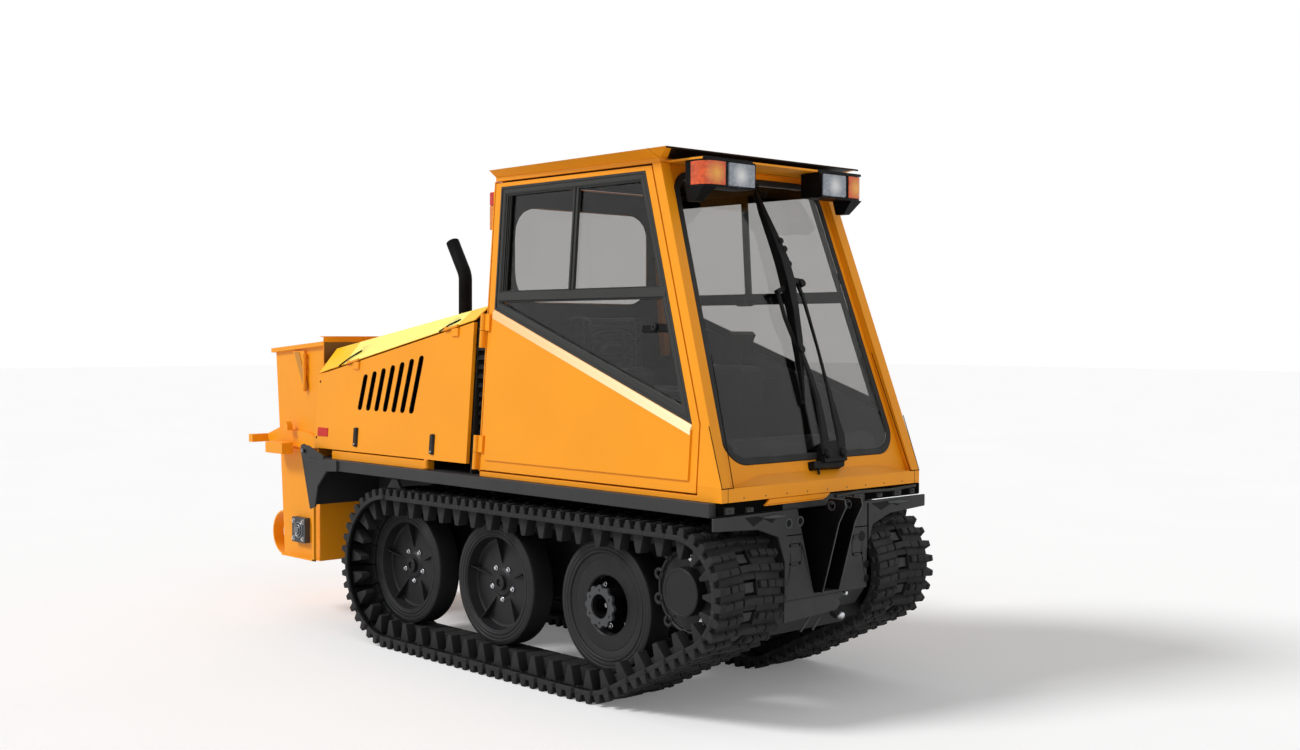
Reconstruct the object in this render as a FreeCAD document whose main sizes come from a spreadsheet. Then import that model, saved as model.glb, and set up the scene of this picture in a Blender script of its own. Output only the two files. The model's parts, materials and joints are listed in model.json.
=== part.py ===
import FreeCAD, Part
import math
import os
import re

import Sketcher
from FreeCAD import Placement, Rotation, Vector

# A small tracked sidewalk machine with a front lift hitch, a one-seat cab, a
# rear engine hood and a drop spreader hung behind the hood.
# Frame: +X forward, +Y left, +Z up, millimetres. The origin is on the ground,
# midway between the hitch hooks and the rear bumper, on the centre plane.

SIZES = [
    # layout along the machine
    ("hook_reach", 135, "hitch hooks ahead of the cab front"),
    ("cab_length", 1468, "cab base, front to rear"),
    ("hood_gap", 92, "gap between cab and hood"),
    ("hood_length", 1296, "hood, front to rear"),
    ("hopper_gap", 40, "gap between hood and spreader"),
    ("hopper_length", 510, "spreader hopper at its rim"),
    ("bumper_reach", 117, "bumper behind the hopper rim"),
    # deck and cab heights
    ("deck_top", 858, "top of the fender plates"),
    ("deck_plate", 8, "fender plate thickness"),
    ("deck_lip", 53, "depth of the fender's outer lip"),
    ("deck_half", 636, "half width over the fenders"),
    ("lip_rear", 190, "fender lip's rear end ahead of the hood's rear"),
    ("deck_front", 30, "fender's front end behind the cab front"),
    ("tray_height", 20, "cab tray above the deck"),
    ("base_rail", 60, "cab base's rear rail"),
    ("side_rail", 90, "cab base's side and front rails"),
    ("base_height", 53, "cab base beam height"),
    ("cab_half", 600, "half width of the cab at its base"),
    ("cab_top_half", 509, "half width of the cab at its eaves"),
    ("eave_height", 1254, "eaves above the cab base"),
    ("eave_rail", 18, "height of the top rail"),
    ("rail_flat", 60, "width of the top rail"),
    ("windshield_rake", 427, "how far the front leans back over eave_height"),
    ("pillar_width", 48, "front pillar seen from the side"),
    ("pillar_depth", 50, "front pillar seen from the front"),
    ("post_size", 40, "rear post section"),
    ("floor_plate", 8, "cab floor thickness"),
    ("wall_plate", 6, "cab rear wall thickness"),
    # roof
    ("roof_height", 30, "roof pan height"),
    ("roof_front", 110, "roof overhang in front"),
    ("roof_side_front", 70, "roof overhang at the sides, front"),
    ("roof_side_rear", 34, "roof overhang at the sides, rear"),
    ("roof_rear", 8, "roof overhang behind"),
    # doors
    ("door_thick", 30, "door slab"),
    ("door_gap", 6, "running gap around doors and panels"),
    ("door_front", 127, "door opening's front edge behind the cab front"),
    ("door_low", 25, "door's lower edge below the base's top"),
    ("door_rim", 38, "door frame around its window"),
    ("window_low_front", 230, "window's front lower corner above the base"),
    ("window_low_rear", 676, "window's rear lower corner above the base"),
    ("sash_width", 34, "dark window frame width"),
    ("sash_thick", 14, "dark window frame thickness"),
    ("sash_set_in", 2, "window frame behind the door's face"),
    ("sash_bar_height", 714, "window's middle bar above the base"),
    ("sash_bar", 36, "window's middle bar width"),
    ("glass_thick", 5, "all glass"),
    ("skin_rise", 8, "raised lower door skin"),
    ("skin_edge", 20, "margin around the raised skin"),
    ("seat_clear", 0.3, "gap between seated pieces"),
    ("barrel_radius", 11, "hinge barrel"),
    ("barrel_length", 150, "hinge barrel pair, both halves"),
    ("barrel_offset", 17, "hinge barrel behind the cab's rear edge"),
    ("barrel_out", 13, "hinge barrel axis outside the cab's side"),
    ("leaf_plate", 4, "hinge leaf"),
    ("hinge_gap", 1, "gap between a door hinge's halves"),
    ("hinge_low", 50, "lower hinge centre above the base"),
    ("hinge_high", 583, "upper hinge centre above the base"),
    # windshield
    ("screen_recess", 30, "windshield panel behind the pillar faces"),
    ("panel_plate", 5, "windshield panel thickness"),
    ("screen_low", 88, "windshield opening above the base, along the slope"),
    ("screen_high", 34, "windshield opening below the eaves, along the slope"),
    ("screen_edge", 26, "windshield opening inside the pillars"),
    ("screen_round", 110, "windshield corner radius"),
    ("gasket_width", 28, "windshield gasket"),
    ("gasket_thick", 14, "windshield gasket thickness"),
    # rear window
    ("rear_window_low", 712, "rear window above the base"),
    ("rear_window_high", 1130, "rear window's top above the base"),
    ("rear_window_half", 400, "rear window half width"),
    ("rear_window_round", 70, "rear window corner radius"),
    # seat and controls
    ("seat_width", 480, "seat"),
    ("seat_back", 90, "seat back ahead of the cab's rear"),
    ("back_thick", 110, "backrest thickness"),
    ("seat_depth", 530, "seat cushion depth"),
    ("seat_foot", 50, "seat box inside the cushion's edges"),
    ("seat_height", 330, "cushion top above the floor"),
    ("cushion", 110, "cushion thickness"),
    ("backrest", 330, "backrest height above the cushion"),
    ("console_width", 150, "side consoles"),
    ("console_height", 420, "side consoles above the floor"),
    ("console_length", 620, "side consoles"),
    ("console_gap", 20, "between the seat and each console"),
    ("lever_height", 150, "control lever"),
    ("lever_radius", 14, "control lever"),
    # lights
    ("lamp_width", 277, "work light housing"),
    ("lamp_height", 108, "work light housing"),
    ("lamp_depth", 115, "work light housing"),
    ("lamp_outer", 477, "outer side of the work lights from the middle"),
    ("lamp_back", 205, "work lights' front behind the cab front"),
    ("lamp_shelf", 8, "plate that carries the work lights"),
    ("shelf_set_back", 20, "that plate's edge behind the lights' front"),
    ("tail_width", 40, "tail lamp"),
    ("tail_height", 170, "tail lamp"),
    ("tail_depth", 38, "tail lamp"),
    # hood
    ("hood_rear_side", 365, "side panel's top above the base, at the rear"),
    ("hood_front_side", 629, "side panel's top above the base, at the front"),
    ("hood_front_top", 696, "hood top above the base, at the front"),
    ("hood_break_top", 529, "hood top above the base, at the rear break"),
    ("hood_break", 236, "rear break ahead of the hood's rear"),
    ("hood_rear_top", 372, "hood top above the base, at the rear"),
    ("hood_top_half", 466, "half width of the hood's flat top"),
    ("rear_spread", 60, "the flat top is wider at the rear by"),
    ("hood_plate", 4, "hood sheet"),
    ("hood_wall", 6, "hood's rear wall and bulkhead"),
    ("panel_thick", 18, "hood side panels"),
    ("hinge_rear", 330, "panels' rear hinge ahead of the hood's rear"),
    ("hinge_front", 166, "panels' front hinge behind the hood's front"),
    ("hood_hinge", 110, "hood panel hinge"),
    ("hinge_barrel", 6, "hood hinge barrel radius"),
    ("hinge_out", 8, "hood hinge axis outside the side plane"),
    ("hinge_split", 3, "gap between a hood hinge's halves"),
    ("rail_height", 40, "hood rail on the deck"),
    ("rail_width", 40, "hood rail on the deck"),
    ("rail_front", 304, "hood rail's front end behind the hood's front"),
    ("rail_rear", 174, "hood rail's rear end ahead of the hood's rear"),
    ("slot_width", 30, "cooling slots"),
    ("slot_low", 201, "cooling slots' lower end above the base"),
    ("slot_first", 389, "first cooling slot ahead of the hood's rear"),
    ("slot_pitch", 73, "cooling slots"),
    ("slot_height", 168, "first cooling slot"),
    ("slot_growth", 16, "each next slot is taller by"),
    ("slot_angle", 13, "slots' slant, degrees"),
    ("engine_length", 820, "engine block"),
    ("engine_width", 560, "engine block"),
    ("engine_height", 420, "engine block above the deck"),
    ("engine_gap", 60, "engine block behind the hood's front"),
    ("exhaust_radius", 34, "exhaust pipe"),
    ("exhaust_bore", 30, "exhaust pipe's inside"),
    ("exhaust_place", 826, "exhaust behind the hood's front"),
    ("exhaust_side", 0, "exhaust from the middle"),
    ("exhaust_bend", 1779, "height of the exhaust's bend above the ground"),
    ("exhaust_end", 1951, "top of the exhaust above the ground"),
    ("exhaust_lean", 110, "how far its top leans back"),
    # hull and front hitch
    ("hull_gap", 35, "between the hull and each track"),
    ("hull_rear", 56, "hull's rear end ahead of the hood's rear"),
    ("hull_low", 300, "ground clearance"),
    ("nose_height", 150, "height of the hull's sloped nose"),
    ("nose_back", 110, "how far the nose slopes back"),
    ("front_plate", 12, "front plate thickness"),
    ("plate_low", 455, "front plate's lower edge"),
    ("wing_low", 757, "underside of the front wings"),
    ("wing_top", 806, "top of the front wings"),
    ("wing_root", 150, "hollow under the front wings beside the plate"),
    ("wing_over", 4, "front wings outside the fenders"),
    ("recess_wall", 74, "front plate beside the hitch recess, at the top"),
    ("recess_low", 78, "half width of the hitch recess at the bottom"),
    ("recess_floor", 15, "bottom of the hitch recess above the plate's lower edge"),
    ("recess_depth", 120, "hitch recess"),
    ("hook_spacing", 100, "between the two hook plates' middles"),
    ("hook_plate", 10, "hook plate thickness"),
    ("hook_top", 842, "top of the hooks"),
    ("hook_head", 80, "hook head, front to rear"),
    ("hook_neck", 42, "step behind the hook heads"),
    ("pin_radius", 12, "hitch pin bore"),
    ("pin_back", 68, "hitch pin behind the hooks' front"),
    ("pin_drop", 27, "hitch pin below the hooks' top"),
    ("bolt_radius", 6, "front plate bolt holes"),
    ("bolt_inset", 60, "bolt group inside the hull's side"),
    ("bolt_pitch_y", 56, "bolt group, across"),
    ("bolt_pitch_z", 72, "bolt group, up"),
    ("bolt_height", 632, "bolt group's middle"),
    # rear brackets
    ("bracket_plate", 10, "rear bracket"),
    ("bracket_foot", 600, "rear bracket's lower end above the ground"),
    ("bracket_top", 924, "rear bracket's top above the ground"),
    ("bracket_tail", 46, "rear brackets behind the hood's rear"),
    ("bracket_reach", 290, "rear brackets ahead of the hood's rear"),
    ("bracket_bore", 10.3, "rear bracket's pin bore radius"),
    ("pin_set_back", 24, "spreader pin behind the hood's rear"),
    ("pin_set_down", 34, "spreader pin below the bracket's top"),
    ("spreader_pin", 10, "spreader pin radius"),
    # running gear
    ("track_outer", 645, "outer edge of the tracks"),
    ("track_width", 360, "track width"),
    ("track_thick", 52, "carcass and lugs together"),
    ("lug_pitch", 59.5, "outer lugs, along the track"),
    ("lug_height", 19, "outer lugs"),
    ("lug_foot", 38, "outer lug at its foot"),
    ("lug_tip", 26, "outer lug at its tip"),
    ("guide_height", 76, "guide lugs inside the track, one for each two outer lugs"),
    ("guide_base", 66, "guide lug at its foot"),
    ("guide_tip", 26, "guide lug at its tip"),
    ("guide_width", 50, "guide lugs, across the track"),
    ("guide_inset", 30, "guide lugs from the track's outer edge"),
    ("path_root", 2, "how far path and guide lugs sink into the carcass"),
    ("wheel_path", 49, "raised path under the wheels"),
    ("rear_wheel_back", 2150, "rear wheel behind the cab front"),
    ("middle_wheel_back", 1464, "middle wheel behind the cab front"),
    ("front_wheel_back", 732, "front wheel behind the cab front"),
    ("wheel_radius", 275, "road wheels"),
    ("wheel_width", 120, "road wheels"),
    ("wheel_inset", 123, "road wheels' face inside the track's outer edge"),
    ("shoulder", 16, "road wheels' rounded shoulder"),
    ("rim_radius", 212, "inside of the wheel's rim"),
    ("dish_depth", 60, "dished wheel"),
    ("flat_depth", 14, "flat front wheel"),
    ("hub_radius", 105, "wheel hub"),
    ("axle_radius", 32, "axle stubs"),
    ("sprocket_back", 215, "sprocket behind the cab front"),
    ("sprocket_height", 505, "sprocket axis above the ground"),
    ("sprocket_tip", 255, "track tips around the sprocket"),
    ("sprocket_width", 30, "sprocket ring"),
    ("lobe_radius", 25, "sprocket lobes"),
    ("lobe_hole", 10, "hole in each lobe"),
    ("path_slot", 50, "slot in the raised path, for the sprocket"),
    ("sprocket_inset", 100, "sprocket disc's middle inside the track's outer edge"),
    ("drive_radius", 150, "final drive housing"),
    ("drive_neck", 105, "final drive beside the hull"),
    ("drive_inset", 93, "final drive housing's face inside the track's outer edge"),
    ("cap_radius", 94, "final drive cap"),
    ("cap_inset", 45, "final drive cap's face inside the track's outer edge"),
    # spreader
    ("hopper_half", 500, "half width of the hopper"),
    ("hopper_wall", 5, "hopper sheet"),
    ("hopper_rim", 1400, "hopper rim at the rear"),
    ("hopper_rim_front", 1440, "hopper rim at the front"),
    ("lip_size", 22, "rolled lip around the rim"),
    ("lip_out", 19, "that lip outside the hopper's sides"),
    ("lug_top", 118, "hoist lug on the hopper, at its top"),
    ("lug_drop", 191, "hoist lug, top to tip"),
    ("lug_plate", 12, "hoist lug plate"),
    ("lug_back", 318, "hoist lug behind the hopper's front"),
    ("hopper_board", 1466, "top of the front board"),
    ("board_drop", 156, "front board's lower edge below its top"),
    ("board_plate", 5, "front board"),
    ("board_flange", 32, "front board's top flange"),
    ("board_over", 19, "front board beyond the hopper's sides"),
    ("hopper_waist", 900, "where the hopper narrows"),
    ("waist_slope", 110, "height of the front wall's sloped step"),
    ("hopper_low", 305, "underside of the hopper"),
    ("hopper_taper", 85, "rear wall's slope to the bottom"),
    ("hopper_step", 67, "front wall's step to the lower body"),
    ("drop_slot", 150, "drop opening, front to rear"),
    ("drop_edge", 30, "floor left at each end of the drop opening"),
    ("roller_radius", 85, "spreader roller"),
    ("roller_gap", 12, "roller's drum from the hopper's end walls"),
    ("roller_height", 454, "roller axis above the ground"),
    ("roller_back", 232, "roller axis behind the hopper's front"),
    ("shaft_radius", 17.5, "roller shaft"),
    ("shaft_clear", 0.4, "roller shaft in its bearings, radial"),
    ("bearing_size", 130, "flange bearing"),
    ("bearing_thick", 30, "flange bearing"),
    ("shaft_end", 12, "shaft beyond the bearing"),
    ("bumper_size", 42, "bumper bar section"),
    ("bumper_height", 940, "top of the bumper bar"),
    ("bumper_half", 600, "half width of the bumper bar"),
    ("arm_plate", 12, "spreader arms"),
    ("arm_eye", 20, "spreader arm around its pin"),
    ("arm_tail", 180, "spreader arm's lower end below its pin"),
    ("pin_end", 8, "spreader pin beyond the brackets"),
    ("hoop_width", 60, "rear hoops"),
    ("hoop_strip", 10, "rear hoops' strip thickness"),
    ("hoop_height", 236, "rear hoops"),
    ("hoop_middle", 419, "hoops' middle above the ground"),
]

doc = FreeCAD.newDocument("tracked_sidewalk_machine")
sheet = doc.addObject("Spreadsheet::Sheet", "sizes")
for row, (alias, size, meaning) in enumerate(SIZES, start=1):
    sheet.set(f"A{row}", alias)
    sheet.set(f"B{row}", str(size))
    sheet.set(f"C{row}", meaning)
    sheet.setAlias(f"B{row}", alias)
doc.recompute()

ALIASES = re.compile(r"\b(" + "|".join(alias for alias, _, _ in SIZES) + r")\b")
NODES = []

# Stations along X, as expressions of the sizes.
CAB_FRONT = (
    "((cab_length + hood_gap + hood_length + hopper_gap + hopper_length"
    " + bumper_reach - hook_reach) / 2)"
)
CAB_REAR = f"({CAB_FRONT} - cab_length)"
HOOD_FRONT = f"({CAB_REAR} - hood_gap)"
HOOD_REAR = f"({HOOD_FRONT} - hood_length)"
HOPPER_FRONT = f"({HOOD_REAR} - hopper_gap)"
HOPPER_REAR = f"({HOPPER_FRONT} - hopper_length)"
BUMPER_REAR = f"({HOPPER_REAR} - bumper_reach)"

# Heights and slopes of the cab.
HULL_HALF = "(track_outer - track_width - hull_gap)"
WHEEL_FACE = "(track_outer - wheel_inset)"
WHEEL_INNER = f"({WHEEL_FACE} - wheel_width)"
RECESS_TOP = f"({HULL_HALF} - recess_wall)"
BASE_TOP = "(deck_top + base_height)"
EAVE = f"({BASE_TOP} + eave_height)"
SHELF_LOW = f"({EAVE} - lamp_shelf - eave_rail / 2)"
LEAN_SLOPE = "((cab_half - cab_top_half) / eave_height)"
LEAN = f"atan({LEAN_SLOPE})"
RAKE_SLOPE = "(windshield_rake / eave_height)"
RAKE = f"atan({RAKE_SLOPE})"
SIDES = (("left", 1), ("right", -1))


def linked(text):
    """An expression with each size's alias read from the sheet."""
    return ALIASES.sub(r"sizes.\1", str(text))


def bind(item, name, text):
    item.setExpression(name, linked(text))


def number(text):
    """The value of an expression of the sizes."""
    return float(sheet.evalExpression(linked(text)))


def place(item, base):
    for axis, text in zip("xyz", base):
        bind(item, f"Placement.Base.{axis}", text)


def half_at(height):
    """Half width of the leaning sides at a height above the base."""
    return f"(cab_half - ({height}) * {LEAN_SLOPE})"


def polygon(sketch, points):
    """A closed outline whose corners are bound to the sheet."""
    first = sketch.GeometryCount
    count = len(points)
    corners = [
        Vector(100 * math.cos(2 * math.pi * i / count), 100 * math.sin(2 * math.pi * i / count), 0)
        for i in range(count)
    ]
    for i in range(count):
        sketch.addGeometry(Part.LineSegment(corners[i], corners[(i + 1) % count]))
    for i in range(count):
        sketch.addConstraint(
            Sketcher.Constraint("Coincident", first + i, 2, first + (i + 1) % count, 1)
        )
    for i, (across, up) in enumerate(points):
        for kind, text in (("DistanceX", across), ("DistanceY", up)):
            fixed = sketch.addConstraint(Sketcher.Constraint(kind, -1, 1, first + i, 1, 1.0))
            bind(sketch, f"Constraints[{fixed}]", text)


def body_sketch(name, plane, loops):
    """A PartDesign body with one sketch on an origin plane."""
    body = doc.addObject("PartDesign::Body", name)
    sketch = body.newObject("Sketcher::SketchObject", name + "_sketch")
    face = [item for item in body.Origin.OriginFeatures if item.Role == plane + "_Plane"][0]
    sketch.AttachmentSupport = (face, [""])
    sketch.MapMode = "FlatFace"
    for points in loops:
        polygon(sketch, points)
    return body, sketch


def plate(name, plane, loops, thickness, base=("0", "0", "0"), turn=None):
    """A flat piece padded to both sides of its plane; turn is (axis, angle)."""
    body, sketch = body_sketch(name, plane, loops)
    pad = body.newObject("PartDesign::Pad", name + "_pad")
    pad.Profile = sketch
    pad.SideType = "Symmetric"
    bind(pad, "Length", thickness)
    if turn:
        body.Placement = Placement(Vector(), Rotation(turn[0], 1))
        bind(body, "Placement.Rotation.Angle", turn[1])
    place(body, base)
    return body


def leaned(name, side, loops, thickness, inset="0"):
    """A plate in the leaning side plane, measured from the base's top."""
    depth = f"({inset} + ({thickness}) / 2)"
    base = ("0", f"{side} * (cab_half - {depth} * cos({LEAN}))", f"{BASE_TOP} - {depth} * sin({LEAN})")
    return plate(name, "XZ", loops, thickness, base, (Vector(1, 0, 0), f"{side} * {LEAN}"))


def turned(name, centre, points):
    """A piece turned about a line along Y; points are (radius, y)."""
    body, sketch = body_sketch(name, "XY", [points])
    revolution = body.newObject("PartDesign::Revolution", name + "_turn")
    revolution.Profile = sketch
    revolution.ReferenceAxis = (sketch, ["V_Axis"])
    revolution.Angle = 360
    place(body, centre)
    return body


def round_corners(body, first, last, radius):
    """Fillets at the corners where a sketch's lines first..last start."""
    doc.recompute()
    sketch = body.Group[0]
    solid = body.Tip
    normal = sketch.Placement.Rotation.multVec(Vector(0, 0, 1))
    corners = [sketch.Placement.multVec(line.StartPoint) for line in sketch.Geometry[first:last]]
    names = []
    for number, edge in enumerate(solid.Shape.Edges, start=1):
        start, end = edge.Vertexes[0].Point, edge.Vertexes[-1].Point
        if (end - start).Length < 1e-6 or (end - start).cross(normal).Length > 1e-6:
            continue
        if any((start - corner).cross(normal).Length < 0.01 for corner in corners):
            names.append(f"Edge{number}")
    fillet = body.newObject("PartDesign::Fillet", f"{body.Name}_round_{first}")
    fillet.Base = (solid, names)
    bind(fillet, "Radius", radius)
    body.Tip = fillet
    return body


def box(name, low, size):
    item = doc.addObject("Part::Box", name)
    for prop, text in zip(("Length", "Width", "Height"), size):
        bind(item, prop, text)
    place(item, low)
    return item


def rod(name, axis, start, radius, length):
    """A cylinder that runs from start along +X, +Y or +Z."""
    turns = {
        "X": Rotation(Vector(0, 1, 0), 90),
        "Y": Rotation(Vector(1, 0, 0), -90),
        "Z": Rotation(),
    }
    item = doc.addObject("Part::Cylinder", name)
    item.Placement = Placement(Vector(), turns[axis])
    bind(item, "Radius", radius)
    bind(item, "Height", length)
    place(item, start)
    return item


def fuse(name, items):
    item = doc.addObject("Part::MultiFuse", name)
    item.Shapes = items
    return item


def cut(name, base, tools):
    item = doc.addObject("Part::Cut", name)
    item.Base = base
    item.Tool = tools[0] if len(tools) == 1 else fuse(name + "_tools", tools)
    return item


def trim(name, item, low, high):
    """The part of a piece between two heights."""
    slab = box(name + "_slab", ("-4000", "-2000", low), ("8000", "4000", f"({high}) - ({low})"))
    result = doc.addObject("Part::MultiCommon", name)
    result.Shapes = [item, slab]
    return result


def section(name, points, base, rotation):
    """A free sketch for a loft."""
    sketch = doc.addObject("Sketcher::SketchObject", name)
    polygon(sketch, points)
    sketch.Placement = Placement(Vector(), rotation)
    place(sketch, base)
    return sketch


def loft(name, sections):
    item = doc.addObject("Part::Loft", name)
    item.Sections = sections
    item.Solid = True
    item.Ruled = True
    return item


def keep(item, label):
    """Mark an object as one sub-part of the machine."""
    item.Label = label
    NODES.append(item)
    return item


def rectangle(left, low, right, high):
    return [(left, low), (right, low), (right, high), (left, high)]


def mirrored(points):
    """The points of one half, then their mirror images in reverse."""
    return points + [(f"-({across})", up) for across, up in reversed(points)]


# ---------------------------------------------------------------- hull, deck

PIN_X = f"({HOOD_REAR} - pin_set_back)"
PIN_Z = "(bracket_top - pin_set_down)"
RECESS_FLOOR = "(plate_low + recess_floor)"


def make_hull():
    rear = f"({HOOD_REAR} + hull_rear)"
    front = f"({CAB_FRONT} - front_plate - seat_clear)"
    low = "hull_low"
    top = "(deck_top - deck_plate)"
    outline = [
        (rear, top), (rear, f"{low} + nose_height"), (f"{rear} + nose_back", low),
        (f"{front} - nose_back", low), (front, f"{low} + nose_height"), (front, top),
    ]
    block = plate("hull_block", "XZ", [outline], f"2 * {HULL_HALF}")
    recess = mirrored([(RECESS_TOP, "wing_top + seat_clear"), ("recess_low", RECESS_FLOOR)])
    hollow = plate("hull_recess", "YZ", [recess], "2 * recess_depth", (CAB_FRONT, "0", "0"))
    keep(cut("hull_cut", block, [hollow]), "hull")


def make_deck():
    rear_lip = f"({HOOD_REAR} + lip_rear)"
    front = f"({CAB_FRONT} - deck_front)"
    sheet_low = "deck_top - deck_plate"
    flat = box("deck_flat", (HOOD_REAR, "-deck_half", sheet_low),
               (f"{front} - {HOOD_REAR}", "2 * deck_half", "deck_plate"))
    lips = [
        box(f"deck_lip_{name}",
            (rear_lip, f"{side} * (deck_half - deck_plate / 2) - deck_plate / 2", "deck_top - deck_lip"),
            (f"{front} - {rear_lip}", "deck_plate", "deck_lip"))
        for name, side in SIDES
    ]
    for name, side in SIDES:
        inner, outer = f"({HULL_HALF} + seat_clear)", "deck_half"
        start = inner if side > 0 else f"-{outer}"
        lips.append(box(f"deck_front_{name}", (f"{front} - deck_plate", start, "deck_top - deck_lip"),
                        ("deck_plate", f"{outer} - {inner}", "deck_lip")))
    keep(fuse("deck_fuse", [flat] + lips), "deck")


def make_front_plate():
    middle = f"{CAB_FRONT} - front_plate / 2"
    outline = mirrored([
        (HULL_HALF, "plate_low"), (HULL_HALF, "wing_low - wing_root"),
        (f"{HULL_HALF} + wing_root / 4", "wing_low - wing_root / 3"),
        (f"{HULL_HALF} + wing_root", "wing_low - wing_root / 12"),
        ("deck_half + wing_over", "wing_low"), ("deck_half + wing_over", "wing_top"),
        (RECESS_TOP, "wing_top"), ("recess_low", RECESS_FLOOR),
    ])
    blank = plate("front_plate_blank", "YZ", [outline], "front_plate", (middle, "0", "0"))
    holes = []
    for name, side in SIDES:
        for i in (-1, 1):
            for j in (-1, 1):
                across = f"{side} * ({HULL_HALF} - bolt_inset) + {i} * bolt_pitch_y / 2"
                up = f"bolt_height + {j} * bolt_pitch_z / 2"
                start = (f"{CAB_FRONT} - 2 * front_plate", across, up)
                holes.append(rod(f"bolt_hole_{name}_{i + 1}{j + 1}", "X", start, "bolt_radius",
                                 "3 * front_plate"))
    keep(cut("front_plate_cut", blank, holes), "front_plate")


def make_hooks():
    back = f"({CAB_FRONT} - recess_depth + seat_clear)"
    tip = f"({CAB_FRONT} + hook_reach)"
    neck = f"({tip} - hook_head)"
    low = f"({RECESS_FLOOR} + seat_clear)"
    rise = f"(hook_top - {low})"
    outline = [
        (back, low), (f"{CAB_FRONT} + 0.15 * hook_reach", low),
        (f"{CAB_FRONT} + 0.39 * hook_reach", f"{low} + 0.3 * {rise}"),
        (f"{CAB_FRONT} + 0.74 * hook_reach", f"{low} + 0.75 * {rise}"), (tip, "hook_top - pin_drop"),
        (f"{tip} - pin_drop / 5", "hook_top"), (neck, "hook_top"),
        (f"{neck} - pin_drop", "hook_top - hook_neck"), (back, "hook_top - 1.25 * hook_neck"),
    ]
    hooks = []
    for name, side in SIDES:
        middle = ("0", f"{side} * hook_spacing / 2", "0")
        blank = plate(f"hook_blank_{name}", "XZ", [outline], "hook_plate", middle)
        bore = rod(f"hook_bore_{name}", "Y",
                   (f"{tip} - pin_back", f"{side} * hook_spacing / 2 - hook_plate", "hook_top - pin_drop"),
                   "pin_radius", "2 * hook_plate")
        hooks.append(cut(f"hook_cut_{name}", blank, [bore]))
    keep(fuse("hooks_fuse", hooks), "hitch_hooks")


def make_brackets():
    """Plates that hang from the fender and carry the spreader's pins."""
    tail = f"({HOOD_REAR} - bracket_tail)"
    front = f"({HOOD_REAR} + bracket_reach)"
    low_lip = "(deck_top - deck_lip)"
    leg = f"({low_lip} - bracket_foot)"
    ear = "(bracket_top - deck_top)"
    outline = [
        (f"{front} - 0.86 * bracket_reach", "bracket_foot"),
        (f"{front} - 0.7 * bracket_reach", f"bracket_foot + 0.07 * {leg}"),
        (f"{front} - 0.6 * bracket_reach", f"bracket_foot + 0.6 * {leg}"),
        (f"{front} - 0.33 * bracket_reach", f"{low_lip} - 0.03 * {leg}"), (front, low_lip),
        (front, "deck_top"), (f"{front} - 0.86 * bracket_reach", "deck_top"),
        (f"{tail} + 0.9 * bracket_tail", f"deck_top + 0.5 * {ear}"),
        (f"{tail} + 0.87 * bracket_tail", f"bracket_top - 0.12 * {ear}"),
        (f"{tail} + 0.57 * bracket_tail", "bracket_top"),
        (tail, f"bracket_top - 0.12 * {ear}"), (tail, f"bracket_top - 0.6 * {ear}"),
    ]
    brackets = []
    for name, side in SIDES:
        middle = f"{side} * (deck_half + seat_clear + bracket_plate / 2)"
        blank = plate(f"bracket_blank_{name}", "XZ", [outline], "bracket_plate", ("0", middle, "0"))
        bore = rod(f"bracket_bore_{name}", "Y", (PIN_X, f"{middle} - bracket_plate", PIN_Z),
                   "bracket_bore", "2 * bracket_plate")
        brackets.append(cut(f"bracket_cut_{name}", blank, [bore]))
    edge = "(deck_half + seat_clear + bracket_plate / 2)"
    foot = f"(bracket_foot + 0.1 * {leg})"
    brackets.append(box("bracket_cross",
                        (f"{HOOD_REAR} + hull_rear - seat_clear - bracket_plate", f"-{edge}", foot),
                        ("bracket_plate", f"2 * {edge}", f"deck_top - deck_plate - seat_clear - {foot}")))
    keep(fuse("brackets_fuse", brackets), "rear_brackets")


# ------------------------------------------------------------------ the cab

def make_base():
    tray = plate("base_tray", "XY", [
        rectangle(CAB_REAR, "-cab_half", CAB_FRONT, "cab_half"),
        rectangle(f"{CAB_REAR} + base_rail", "-cab_half + side_rail",
                  f"{CAB_FRONT} - side_rail", "cab_half - side_rail"),
    ], "tray_height", ("0", "0", "deck_top + tray_height / 2"))
    set_in = "(cab_half - door_thick - door_gap)"
    step = f"({CAB_FRONT} - door_front)"
    ring = [
        (CAB_REAR, f"-{set_in}"), (step, f"-{set_in}"), (step, "-cab_half"), (CAB_FRONT, "-cab_half"),
        (CAB_FRONT, "cab_half"), (step, "cab_half"), (step, set_in), (CAB_REAR, set_in),
    ]
    hole = rectangle(f"{CAB_REAR} + base_rail", "-cab_half + side_rail",
                     f"{CAB_FRONT} - side_rail", "cab_half - side_rail")
    beam = plate("base_beam", "XY", [ring, hole], "base_height - tray_height",
                 ("0", "0", "deck_top + (base_height + tray_height) / 2"))
    floor = plate("floor", "XY", [
        rectangle(f"{CAB_REAR} + base_rail / 2", "-cab_half + side_rail - base_rail / 2",
                  f"{CAB_FRONT} - side_rail / 2", "cab_half - side_rail + base_rail / 2"),
    ], "floor_plate", ("0", "0", f"{BASE_TOP} - floor_plate / 2"))
    keep(fuse("base_fuse", [tray, beam, floor]), "cab_base")


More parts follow.
